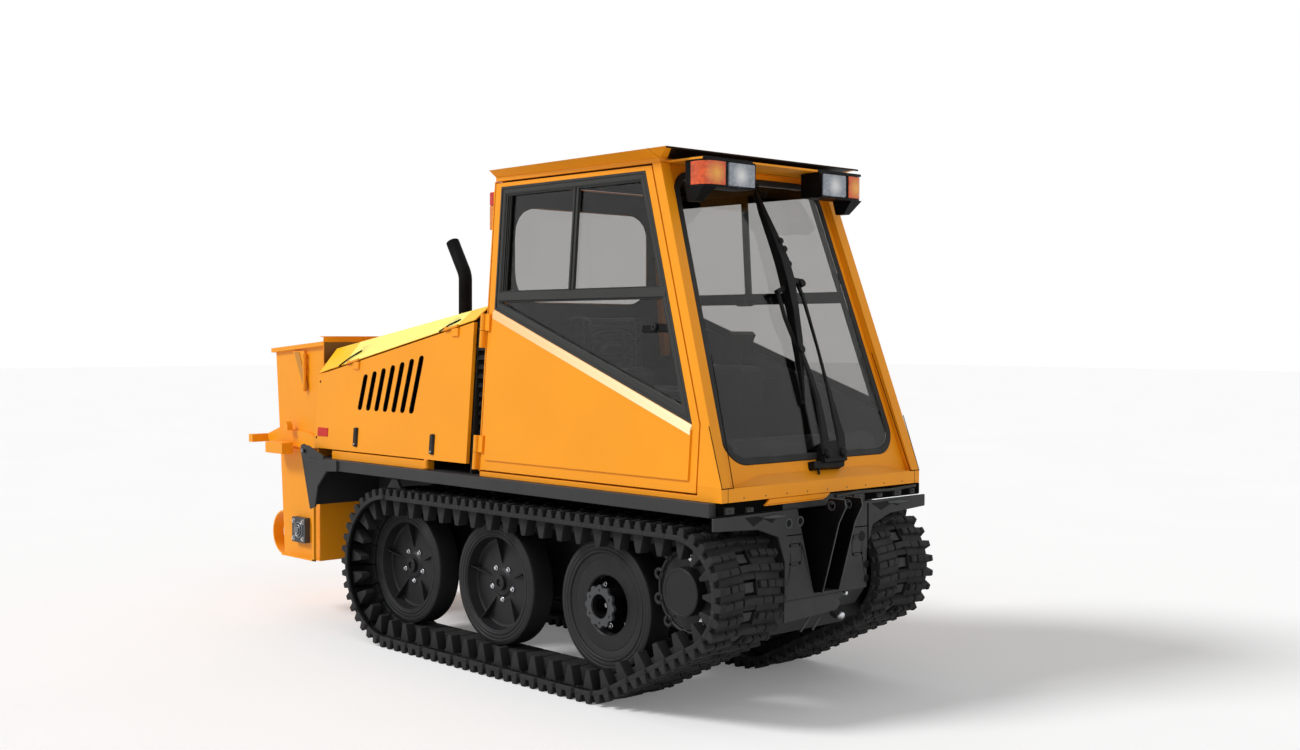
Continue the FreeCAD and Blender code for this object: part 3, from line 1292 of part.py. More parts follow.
def make_hopper():
    low_front = f"({HOPPER_FRONT} - hopper_step)"
    block = plate("hopper_block", "XZ", [hopper_outline()], "2 * hopper_half")
    inside = [
        (f"{HOPPER_REAR} + hopper_wall", "hopper_rim_front + lip_size"),
        (f"{HOPPER_REAR} + hopper_wall", "hopper_rim"),
        (f"{HOPPER_REAR} + hopper_taper / 2 + hopper_wall", "hopper_waist"),
        (f"{HOPPER_REAR} + hopper_taper + hopper_wall", "hopper_low + hopper_wall"),
        (f"{low_front} - hopper_wall", "hopper_low + hopper_wall"),
        (f"{low_front} - hopper_wall", "hopper_waist - waist_slope + hopper_wall / 2"),
        (f"{HOPPER_FRONT} - hopper_wall", "hopper_waist + hopper_wall / 2"),
        (f"{HOPPER_FRONT} - hopper_wall", "hopper_rim_front + lip_size"),
    ]
    cavity = plate("hopper_cavity", "XZ", [inside], "2 * (hopper_half - hopper_wall)")
    slot = box("hopper_slot",
               (f"{ROLLER_X} - drop_slot / 2", "-hopper_half + drop_edge", "hopper_low - hopper_wall"),
               ("drop_slot", "2 * (hopper_half - drop_edge)", "3 * hopper_wall"))
    shaft = rod("hopper_shaft_hole", "Y", (ROLLER_X, "-hopper_half - hopper_wall", "roller_height"),
                "shaft_radius + door_gap", "2 * (hopper_half + hopper_wall)")
    shell = cut("hopper_shell", block, [cavity, slot, shaft])
    pieces = [shell]
    tail = f"({HOPPER_REAR} + hopper_wall - lip_size)"
    lip = [
        (tail, "hopper_rim - lip_size"), (HOPPER_FRONT, "hopper_rim_front - lip_size"),
        (HOPPER_FRONT, "hopper_rim_front"), (tail, "hopper_rim"),
    ]
    lug_rear = f"({HOPPER_FRONT} - lug_back)"
    lug = [
        (lug_rear, "hopper_rim - lip_size / 2"), (f"{lug_rear} + lug_top", "hopper_rim - lip_size / 2"),
        (f"{lug_rear} + lug_top", "hopper_rim - lug_drop - lip_size"),
        (f"{lug_rear} + 0.8 * lug_top", "hopper_rim - lug_drop - lip_size"),
    ]
    for name, side in SIDES:
        pieces.append(plate(f"lip_{name}", "XZ", [lip], "lip_size",
                            ("0", f"{side} * (hopper_half + lip_out - lip_size / 2)", "0")))
        pieces.append(plate(f"lug_{name}", "XZ", [lug], "lug_plate",
                            ("0", f"{side} * (hopper_half + lug_plate / 3)", "0")))
    pieces.append(box("rear_lip", (tail, "-(hopper_half + lip_out)", "hopper_rim - lip_size"),
                      ("lip_size", "2 * (hopper_half + lip_out)", "lip_size")))
    keep(fuse("hopper_fuse", pieces), "hopper")
    left, across = "-(hopper_half + board_over)", "2 * (hopper_half + board_over)"
    face = box("board_face", (f"{HOPPER_FRONT} + seat_clear", left, "hopper_board - board_drop"),
               ("board_plate", across, "board_drop"))
    flange = box("board_flange",
                 (f"{HOPPER_FRONT} + seat_clear + board_plate - board_flange", left,
                  "hopper_board - board_plate"),
                 ("board_flange", across, "board_plate"))
    keep(fuse("board_fuse", [face, flange]), "hopper_front_board")


def make_roller():
    long_half = "(hopper_half + bearing_thick + shaft_end)"
    shaft = rod("roller_shaft", "Y", (ROLLER_X, f"-{long_half}", "roller_height"), "shaft_radius",
                f"2 * {long_half}")
    drum_half = "(hopper_half - hopper_wall - roller_gap)"
    drum = rod("roller_drum", "Y", (ROLLER_X, f"-{drum_half}", "roller_height"), "roller_radius",
               f"2 * {drum_half}")
    keep(fuse("roller_fuse", [shaft, drum]), "spreader_roller")
    bearings = []
    for name, side in SIDES:
        y = f"{side} * (hopper_half + seat_clear + bearing_thick / 2) - bearing_thick / 2"
        block = box(f"bearing_block_{name}",
                    (f"{ROLLER_X} - bearing_size / 2", y, "roller_height - bearing_size / 2"),
                    ("bearing_size", "bearing_thick", "bearing_size"))
        bore = rod(f"bearing_bore_{name}", "Y",
                   (ROLLER_X, f"{y} - bearing_thick / 2", "roller_height"), "shaft_radius + shaft_clear",
                   "2 * bearing_thick")
        bearings.append(cut(f"bearing_cut_{name}", block, [bore]))
    keep(fuse("bearings_fuse", bearings), "flange_bearings")


def make_bumper():
    keep(box("bumper_beam", (BUMPER_REAR, "-bumper_half", "bumper_height - bumper_size"),
             ("bumper_size", "2 * bumper_half", "bumper_size")), "bumper_bar")
    rear = f"({BUMPER_REAR} + bumper_size + seat_clear)"
    front = f"({PIN_X} + arm_eye)"
    outline = [
        (rear, "bumper_height - bumper_size"), (rear, "bumper_height"),
        (f"{HOPPER_REAR} + 0.5 * bumper_reach", "bumper_height + bumper_size"),
        (f"{HOPPER_REAR} + 0.7 * hopper_length", "bumper_height + 0.6 * bumper_size"),
        (f"{PIN_X} - arm_eye", f"{PIN_Z} + arm_eye"), (front, f"{PIN_Z} + arm_eye"),
        (front, f"{PIN_Z} - arm_eye"), (f"{PIN_X} + arm_eye / 2", f"{PIN_Z} - arm_tail"),
        (f"{PIN_X} - arm_eye / 2", f"{PIN_Z} - arm_tail"),
        (f"{PIN_X} - 1.5 * arm_eye", f"{PIN_Z} - 0.45 * arm_tail"),
        (f"{PIN_X} - 3.5 * arm_eye", f"{PIN_Z} - 0.2 * arm_tail"),
        (f"{HOPPER_REAR} + 0.6 * hopper_length", "bumper_height - 1.4 * bumper_size"),
        (f"{HOPPER_REAR} + 0.5 * bumper_reach", "bumper_height - 1.2 * bumper_size"),
    ]
    arms, pins = [], []
    for name, side in SIDES:
        middle = f"{side} * (hopper_half + seat_clear + arm_plate / 2)"
        blank = plate(f"arm_blank_{name}", "XZ", [outline], "arm_plate", ("0", middle, "0"))
        bore = rod(f"arm_bore_{name}", "Y", (PIN_X, f"{middle} - arm_plate", PIN_Z), "bracket_bore",
                   "2 * arm_plate")
        arms.append(cut(f"arm_cut_{name}", blank, [bore]))
        low, high = "(hopper_half + seat_clear)", "(deck_half + bracket_plate + pin_end)"
        y = low if side > 0 else f"-{high}"
        pins.append(rod(f"pin_{name}", "Y", (PIN_X, y, PIN_Z), "spreader_pin", f"{high} - {low}"))
    keep(fuse("arms_fuse", arms), "spreader_arms")
    keep(fuse("pins_fuse", pins), "spreader_pins")


def make_hoops():
    """Round guards behind the hopper's lower corners."""
    hoops = []
    centre_x = f"({HOPPER_REAR} + 0.9 * hopper_taper)"
    for name, side in SIDES:
        middle = f"{side} * (hopper_half - hoop_width / 2)"
        outer = rod(f"hoop_outer_{name}", "Y", (centre_x, f"{middle} - hoop_width / 2", "hoop_middle"),
                    "hoop_height / 2", "hoop_width")
        inner = rod(f"hoop_inner_{name}", "Y", (centre_x, f"{middle} - hoop_width", "hoop_middle"),
                    "hoop_height / 2 - hoop_strip", "2 * hoop_width")
        body = plate(f"hoop_trim_{name}", "XZ", [hopper_outline()], "2 * (hopper_half + hoop_strip)")
        hoops.append(cut(f"hoop_cut_{name}", outer, [inner, body]))
    keep(fuse("hoops_fuse", hoops), "rear_hoops")


# -------------------------------------------------------------------- build

def build():
    make_hull()
    make_deck()
    make_front_plate()
    make_hooks()
    make_brackets()
    make_base()
    make_pillars()
    make_roof()
    make_rear_wall()
    make_windshield()
    make_hinges()
    stubs = []
    for name, side in SIDES:
        make_door(name, side)
        make_hood_panel(name, side)
        make_running_gear(name, side, stubs)
    keep(fuse("stubs_fuse", stubs), "axles")
    make_hood_top()
    make_hood_walls()
    make_engine()
    make_exhaust()
    make_lights()
    make_interior()
    make_hopper()
    make_roller()
    make_bumper()
    make_hoops()


def check():
    """Stop if any object failed or any sub-part has no valid shape."""
    for item in doc.Objects:
        if "Invalid" in item.State or "Error" in item.State:
            raise RuntimeError(f"{item.Label} failed: {item.State}")
    for item in NODES:
        if item.Shape.isNull() or not item.Shape.isValid() or item.Shape.Volume <= 0:
            raise RuntimeError(f"{item.Label} has no valid shape")


def write():
    os.makedirs("parts", exist_ok=True)
    for item in NODES:
        item.Shape.exportStep(f"parts/{item.Label}.step")
    print(len(NODES), "sub-parts")


build()
doc.recompute()
check()
write()
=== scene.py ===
"""Looks of the tracked snow plough carrier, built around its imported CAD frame."""
import json
import math

import bmesh
import bpy
from mathutils import Matrix, Vector

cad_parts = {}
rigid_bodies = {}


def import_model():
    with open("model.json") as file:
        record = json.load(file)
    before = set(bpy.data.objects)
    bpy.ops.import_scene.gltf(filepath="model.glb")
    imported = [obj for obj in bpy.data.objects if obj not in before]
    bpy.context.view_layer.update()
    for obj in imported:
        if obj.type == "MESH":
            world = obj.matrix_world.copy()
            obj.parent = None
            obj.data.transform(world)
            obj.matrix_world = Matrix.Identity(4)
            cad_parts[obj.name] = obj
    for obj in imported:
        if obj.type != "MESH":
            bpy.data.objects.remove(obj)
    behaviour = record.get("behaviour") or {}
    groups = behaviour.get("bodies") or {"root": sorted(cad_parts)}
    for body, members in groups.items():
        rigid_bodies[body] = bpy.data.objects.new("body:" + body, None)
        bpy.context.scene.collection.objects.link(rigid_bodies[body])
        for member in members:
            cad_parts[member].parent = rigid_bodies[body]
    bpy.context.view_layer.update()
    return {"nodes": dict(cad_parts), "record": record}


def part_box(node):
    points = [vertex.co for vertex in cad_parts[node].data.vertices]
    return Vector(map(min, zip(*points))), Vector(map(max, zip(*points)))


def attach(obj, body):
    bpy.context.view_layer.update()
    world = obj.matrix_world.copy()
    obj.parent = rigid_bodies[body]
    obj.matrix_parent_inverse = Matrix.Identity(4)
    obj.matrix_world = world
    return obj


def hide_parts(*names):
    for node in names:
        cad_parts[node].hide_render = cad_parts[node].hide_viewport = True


for leftover in list(bpy.data.objects):
    bpy.data.objects.remove(leftover)

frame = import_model()
NODES = frame["nodes"]

# ---------------------------------------------------------------- places, in metres

LOW, HIGH = {}, {}
for node in NODES:
    LOW[node], HIGH[node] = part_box(node)

CAB_FRONT, CAB_REAR = HIGH["cab_base"].x, LOW["cab_base"].x
BASE_LOW, BASE_TOP = LOW["cab_base"].z, HIGH["cab_base"].z
CAB_HALF = HIGH["cab_base"].y
EAVE = HIGH["eave_frame"].z
# The cab's half width and front at the eave.
TOP_HALF = 0.509
EAVE_FRONT = CAB_FRONT - 0.427
HOOD_FRONT, HOOD_REAR = HIGH["hood_top"].x, LOW["hood_top"].x
TRACK_OUTER = HIGH["track_left"].y
TRACK_INNER = LOW["track_left"].y
TRACK_MIDDLE = (TRACK_OUTER + TRACK_INNER) / 2
TRACK_WIDTH = TRACK_OUTER - TRACK_INNER
WHEEL_FACE = HIGH["wheel_rear_left"].y
WHEEL_INNER = LOW["wheel_rear_left"].y

LEAN = math.atan((CAB_HALF - TOP_HALF) / (EAVE - BASE_TOP))
RAKE = math.atan((CAB_FRONT - EAVE_FRONT) / (EAVE - BASE_TOP))


def middle(name):
    return (LOW[name] + HIGH[name]) / 2


def basis(origin, right, up):
    """A frame whose X runs along right and Y along up, and whose Z faces the viewer."""
    right, up = Vector(right).normalized(), Vector(up).normalized()
    out = right.cross(up)
    return Matrix.Translation(origin) @ Matrix((right, up, out)).transposed().to_4x4()


# The cab's right side: X forward from the cab's rear edge, Y up the leaning side, Z outward.
SIDE = basis((CAB_REAR, -CAB_HALF, BASE_TOP), (1, 0, 0), (0, math.sin(LEAN), math.cos(LEAN)))
# The raked front: X to the machine's left, Y up the slope, Z outward.
FRONT = basis((CAB_FRONT, 0, BASE_TOP), (0, 1, 0), (-math.sin(RAKE), 0, math.cos(RAKE)))
# Planes through the origin: the hitch end, the right side and the ground plan, then no turn at all.
NOSE = basis((0, 0, 0), (0, 1, 0), (0, 0, 1))
FLANK = basis((0, 0, 0), (1, 0, 0), (0, 0, 1))
PLAN = basis((0, 0, 0), (1, 0, 0), (0, 1, 0))
WORLD = Matrix.Identity(4)
MIRROR = Matrix.Scale(-1, 4, (0, 1, 0))


def at(plane, x=0.0, y=0.0, out=0.0):
    """The same plane with its origin moved along its own axes."""
    return plane @ Matrix.Translation((x, y, out))


def spun(plane, degrees, reach=0.0, out=0.0):
    """The plane turned about its Z axis, then moved out along its new X axis."""
    return plane @ Matrix.Rotation(math.radians(degrees), 4, "Z") @ Matrix.Translation((reach, 0, out))


def circle(steps):
    """Evenly spread angles, once round."""
    return [2 * math.pi * i / steps for i in range(steps)]


def rect(x0, x1, y0, y1):
    """A rectangle's four corners."""
    return [(x0, y0), (x1, y0), (x1, y1), (x0, y1)]


def section(x0, x1, y, z0, z1):
    """A bar's cross-section, square to the plane's Y axis."""
    return [(x0, y, z0), (x1, y, z0), (x1, y, z1), (x0, y, z1)]


def placed(name, data):
    """A new object of the scene with this data."""
    item = bpy.data.objects.new(name, data)
    bpy.context.scene.collection.objects.link(item)
    return item


# The upright plane of the cab's front.
CAB_FACE = at(NOSE, out=CAB_FRONT)


# ------------------------------------------------------------------------ materials

def linear(colour):
    """An sRGB hex colour in Blender's linear values."""
    values = [int(colour[i:i + 2], 16) / 255 for i in (1, 3, 5)]
    return [v / 12.92 if v <= 0.04045 else ((v + 0.055) / 1.055) ** 2.4 for v in values]


class Surface:
    """A node material whose colour, gloss and relief vary over the surface."""

    def __init__(self, name):
        self.material = bpy.data.materials.new(name)
        self.material.use_nodes = True
        self.tree = self.material.node_tree
        self.shader = self.tree.nodes["Principled BSDF"]
        self.where = self.add("ShaderNodeTexCoord").outputs["Object"]

    def add(self, kind, links=(), **values):
        node = self.tree.nodes.new(kind)
        for key, value in values.items():
            if hasattr(node, key):
                setattr(node, key, value)
            else:
                node.inputs[key.replace("_", " ")].default_value = value
        for key, source in dict(links).items():
            self.tree.links.new(source, node.inputs[key])
        return node

    def set(self, **values):
        for key, value in values.items():
            socket = self.shader.inputs[key.replace("_", " ")]
            if isinstance(value, bpy.types.NodeSocket):
                self.tree.links.new(value, socket)
            else:
                socket.default_value = value

    def noise(self, scale, detail=4.0, stretch=None):
        where = self.where
        if stretch:
            where = self.add("ShaderNodeMapping", {"Vector": where}, Scale=stretch).outputs[0]
        return self.add("ShaderNodeTexNoise", {"Vector": where}, Scale=scale, Detail=detail).outputs[0]

    def ranged(self, value, low, high, to_low=0.0, to_high=1.0):
        node = self.add("ShaderNodeMapRange", {"Value": value})
        for index, number in enumerate((low, high, to_low, to_high), 1):
            node.inputs[index].default_value = number
        return node.outputs[0]

    def mix(self, share, first, second):
        """first where share is 0, second where it is 1."""
        node = self.add("ShaderNodeMix", data_type="RGBA")
        self.tree.links.new(share, node.inputs[0])
        for index, colour in ((6, first), (7, second)):
            if isinstance(colour, bpy.types.NodeSocket):
                self.tree.links.new(colour, node.inputs[index])
            else:
                node.inputs[index].default_value = (*colour, 1)
        return node.outputs[2]

    def times(self, first, second):
        return self.add("ShaderNodeMath", {0: first, 1: second}, operation="MULTIPLY").outputs[0]

    def edges(self, radius):
        """0 on flat faces, 1 on edges sharper than the radius shows."""
        soft = self.add("ShaderNodeBevel", samples=4, Radius=radius).outputs[0]
        plain = self.add("ShaderNodeNewGeometry").outputs["Normal"]
        alike = self.add("ShaderNodeVectorMath", {0: soft, 1: plain},
                         operation="DOT_PRODUCT").outputs["Value"]
        return self.ranged(alike, 0.99, 0.8)

    def bump(self, height, distance, strength=1.0):
        node = self.add("ShaderNodeBump", {"Height": height}, Distance=distance, Strength=strength)
        self.set(Normal=node.outputs[0])


def finish(name, colour, rough, metal=0.0, fade=0.07, grain=220.0, relief=0.0002, wear=None, wear_share=0.5,
           coat=0.0, gloss=0.5, stretch=None, highlight_ahead=None):
    """A painted, moulded or bare surface: mottled colour, uneven gloss, fine relief, worn edges.

    With highlight_ahead, the colour runs to that one towards the cab's front, as a painted highlight.
    """
    s = Surface(name)
    base = Vector(linear(colour))
    broad = s.noise(2.3, 5.0)
    tint = s.mix(s.ranged(broad, 0.35, 0.65), base * (1 - fade), base * (1 + fade))
    if highlight_ahead:
        along = s.add("ShaderNodeSeparateXYZ", {"Vector": s.where}).outputs["X"]
        tint = s.mix(s.ranged(along, CAB_REAR, CAB_FRONT - 0.2), tint, linear(highlight_ahead))
    fine = s.noise(grain, 3.0, stretch)
    tint = s.mix(s.ranged(fine, 0.55, 0.8, 0, 0.35), tint, base * (1 - 2 * fade))
    if wear:
        patches = s.ranged(s.noise(38.0, 6.0), 1 - wear_share - 0.08, 1 - wear_share + 0.08)
        tint = s.mix(s.times(s.edges(0.0025), patches), tint, linear(wear))
    s.set(Base_Color=tint, Roughness=s.ranged(s.noise(9.0, 6.0), 0.3, 0.7, *rough), Metallic=metal,
          Specular_IOR_Level=gloss, Coat_Weight=coat, Coat_Roughness=0.12)
    s.bump(fine, relief)
    return s.material


def glazing(name, colour):
    """Tinted glass with faint streaks in its polish."""
    s = Surface(name)
    film = s.ranged(s.noise(3.0, 6.0, (1, 1, 0.3)), 0.4, 0.8, 0.0, 0.004)
    shade = Vector(linear(colour))
    s.set(Base_Color=s.mix(s.ranged(s.noise(2.0, 4.0), 0.3, 0.7), shade * 0.99, shade * 1.01), Roughness=film,
          IOR=1.3, Transmission_Weight=1.0)
    return s.material


def lens(name, colour, ribs, clear=1.0, painted_highlight=None, spot=None):
    """A moulded lamp lens: pressed facets behind a smooth face, with a painted highlight round its bulb at
    spot.
    """
    s = Surface(name)
    cells = s.add("ShaderNodeTexVoronoi", {"Vector": s.where}, Scale=ribs, feature="F1").outputs["Distance"]
    shade = Vector(linear(colour))
    tint = s.mix(s.ranged(cells, 0.0, 0.7), shade * 1.1, shade * 0.75)
    if painted_highlight:
        parts = s.add("ShaderNodeSeparateXYZ", {"Vector": s.where})
        side = s.add("ShaderNodeMath", {0: parts.outputs["Y"]}, operation="ABSOLUTE").outputs[0]
        flat = s.add("ShaderNodeCombineXYZ", {"Y": side, "Z": parts.outputs["Z"]}).outputs[0]
        away = s.add("ShaderNodeVectorMath", {0: flat}, operation="DISTANCE")
        away.inputs[1].default_value = (0, *spot)
        near = s.ranged(away.outputs["Value"], 0.008, 0.05)
        tint = s.mix(near, linear(painted_highlight), tint)
    s.set(Base_Color=tint, Roughness=s.ranged(cells, 0.0, 0.7, 0.08, 0.25), IOR=1.49,
          Transmission_Weight=clear, Coat_Weight=0.3)
    s.bump(cells, 0.002, 0.6)
    return s.material


def vinyl(name, colour):
    """Seat cloth: a fine woven relief over a soft base."""
    s = Surface(name)
    base = Vector(linear(colour))
    weave, cross = (s.add("ShaderNodeTexWave", {"Vector": s.where}, Scale=260.0, Distortion=0.6, Detail=1.0,
                          bands_direction=bands).outputs["Fac"] for bands in ("DIAGONAL", "X"))
    cloth = s.times(weave, cross)
    tint = s.mix(s.ranged(s.noise(6.0, 5.0), 0.3, 0.7), base * 0.8, base * 1.25)
    s.set(Base_Color=s.mix(cloth, tint, base * 1.6), Roughness=s.ranged(cloth, 0, 1, 0.95, 0.75),
          Sheen_Weight=0.25)
    s.bump(cloth, 0.0008)
    return s.material


# Fine, nearly even paint.
SATIN = {"grain": 420.0, "relief": 0.00006}
PAINT = finish("paint", "#F39A12", (0.4, 0.5), fade=0.03, **SATIN, wear="#B06E14",
               wear_share=0.18, coat=0.05, gloss=0.28)
# A darker paint for the spreader lug's gusset: painted shade.
PAINT_LUG_SHADE = finish("paint_lug_in_shade", "#C4832A", (0.42, 0.52), fade=0.05, **SATIN, gloss=0.3)
# Paler paints for the hood's bevels: painted highlights where the light falls on them.
PAINT_SUNLIT = finish("paint_sunlit", "#FFC414", (0.4, 0.5), fade=0.03, **SATIN, gloss=0.3)
PAINT_BEVEL_HIGHLIGHT = finish("paint_bevel_highlight", "#FFF078", (0.4, 0.5), fade=0.03, **SATIN, gloss=0.3)
PAINT_SHADE = finish("paint_in_shade", "#6E450A", (0.5, 0.65), fade=0.06, grain=300.0, relief=0.0001,
                     gloss=0.2)
# A pale paint for the doors' chamfer: a painted highlight, paler still towards the cab's front.
PAINT_CHAMFER_HIGHLIGHT = finish("paint_chamfer_highlight", "#FFC486", (0.4, 0.5), fade=0.02, **SATIN, gloss=0.3,
                     highlight_ahead="#FFF4C0")
CHASSIS = finish("chassis_grey", "#2A2A2B", (0.46, 0.62), fade=0.08, grain=320.0, relief=0.00012,
                 wear="#58595A", wear_share=0.25, gloss=0.35)
BLACK = finish("frame_black", "#252624", (0.42, 0.58), fade=0.08, grain=380.0, relief=0.0001, wear="#424340",
               wear_share=0.2, gloss=0.35)
HOUSING = finish("lamp_housing", "#070708", (0.4, 0.55), fade=0.1, grain=300.0, relief=0.00008, gloss=0.12)
SEAL = finish("seal_rubber", "#1F2020", (0.55, 0.75), fade=0.12, grain=260.0, relief=0.0002, gloss=0.3)
TRACK = finish("track_rubber", "#1E1E1F", (0.6, 0.85), fade=0.12, grain=150.0, relief=0.0006, wear="#373737",
               wear_share=0.35, gloss=0.3)
PAD = finish("track_pads", "#2E2E2F", (0.5, 0.7), fade=0.1, grain=190.0, relief=0.0004, gloss=0.4)
TYRE = finish("wheel_rubber", "#1B1B1C", (0.5, 0.7), fade=0.1, grain=190.0, relief=0.0003, gloss=0.3)
WHEEL = finish("running_gear", "#161618", (0.44, 0.6), fade=0.1, grain=260.0, relief=0.0002, wear="#3A3B3C",
               wear_share=0.3, gloss=0.3)
STEEL = finish("bare_steel", "#8A8C8E", (0.25, 0.45), metal=1.0, fade=0.15, grain=180.0, relief=0.0002,
               wear="#BFC1C3", wear_share=0.4)
ZINC = finish("zinc_bolts", "#C9CCD0", (0.18, 0.34), metal=1.0, fade=0.12, grain=400.0, relief=0.0001)
IRON = finish("engine_iron", "#2C2E30", (0.5, 0.8), fade=0.2, grain=90.0, relief=0.0012)
EXHAUST = finish("exhaust_black", "#050505", (0.6, 0.85), fade=0.25, grain=160.0, relief=0.0005,
                 wear="#1C1714", wear_share=0.35, gloss=0.1)
TRIM = finish("cab_trim", "#232425", (0.6, 0.8), fade=0.08, grain=500.0, relief=0.0005)
MAT = finish("floor_mat", "#17181A", (0.65, 0.85), fade=0.15, grain=240.0, relief=0.0006)
HEADLINER = finish("headliner", "#1B1C1D", (0.85, 0.98), fade=0.08, grain=700.0, relief=0.0006, gloss=0.1)
# Near black for seams, and painted shade in holes, gaps, slots and hollows.
SHADE_AND_SEAM_BLACK = finish("painted_shade_and_seam_black", "#040404", (0.85, 0.98), fade=0.2, grain=60.0, relief=0.0004, gloss=0.05)
GLASS = glazing("glass", "#C8C7C6")
# The amber and clear lenses get a painted highlight round their bulbs.
AMBER = lens("amber_lens", "#F05A10", 60.0, 0.1, "#FFB040", (0.42, 2.095))
CLEAR = lens("clear_lens", "#B4BCC8", 60.0, 0.35, "#FFFFFF", (0.285, 2.095))
JET = finish("wiper_black", "#050505", (0.4, 0.6), fade=0.3, grain=300.0, relief=0.0001, gloss=0.15)
CASTING = finish("cast_ring", "#3E4042", (0.4, 0.6), fade=0.1, grain=260.0, relief=0.0003, gloss=0.4)
RED = lens("red_lens", "#D8140C", 90.0, 0.05)
ORANGE = lens("orange_lens", "#F08A28", 90.0, 0.05)
REFLECTOR = finish("red_reflector", "#C4170B", (0.25, 0.4), fade=0.08, grain=520.0, relief=0.0004, gloss=0.3)
MIRROR_BOWL = finish("lamp_bowl", "#DDE3E8", (0.08, 0.2), metal=1.0, fade=0.06, grain=200.0, relief=0.0004)
SEAT = vinyl("seat_cloth", "#262628")
SEAT_SIDE = finish("seat_bolster", "#1E1E20", (0.5, 0.68), fade=0.1, grain=520.0, relief=0.0005)

NODE_FINISHES = {
    "body_paint": PAINT, "chassis_grey": CHASSIS, "frame_black": BLACK, "lamp_housing": HOUSING,
    "glass": GLASS, "seat_vinyl": SEAT_SIDE, "engine_iron": IRON, "exhaust_steel": EXHAUST,
    "track_rubber": TRACK, "running_gear": WHEEL, "bare_steel": STEEL,
}
# The hitch hooks take the near-black housing finish, darker than their own grey: painted shade on their
# sides.
SPECIAL_FINISHES = {
    "windshield_gasket": SEAL, "consoles": TRIM, "control_lever": BLACK, "seat_base": BLACK,
    "flange_bearings": CASTING, "hitch_hooks": HOUSING, "hood_rear_wall": PAINT, "engine_bulkhead": BLACK,
    "tail_lamps": HOUSING,
}
SOFT_EDGE = {
    "roof": 0.006, "windshield_gasket": 0.004, "front_plate": 0.003, "hopper": 0.002, "seat_base": 0.006,
    "consoles": 0.02, "engine": 0.03, "deck": 0.003, "work_light_left": 0.006, "work_light_right": 0.006,
}
SMALL_EDGE = 0.0018
EDGE_ANGLE = math.radians(32)


def soften(item, width, segments=2):
    """Rounded edges that catch light, on a CAD node or a piece alike."""
    item.modifiers.new("weld", "WELD").merge_threshold = 0.00002
    bevel = item.modifiers.new("edges", "BEVEL")
    bevel.width, bevel.segments = width, segments
    bevel.limit_method, bevel.angle_limit = "ANGLE", EDGE_ANGLE
    bevel.use_clamp_overlap, bevel.harden_normals = True, False
    item.modifiers.new("normals", "WEIGHTED_NORMAL").keep_sharp = True


def dress_nodes():
    for row in frame["record"]["subparts"]:
        name = row["node"]
        item = NODES[name]
        item.data.materials.clear()
        item.data.materials.append(SPECIAL_FINISHES.get(name, NODE_FINISHES[row["material_slot"]]))
        soften(item, SOFT_EDGE.get(name, SMALL_EDGE))


# ------------------------------------------------------------------- mesh building

# The radius that stands for 0 where a turned form closes.
TINY = 0.0002


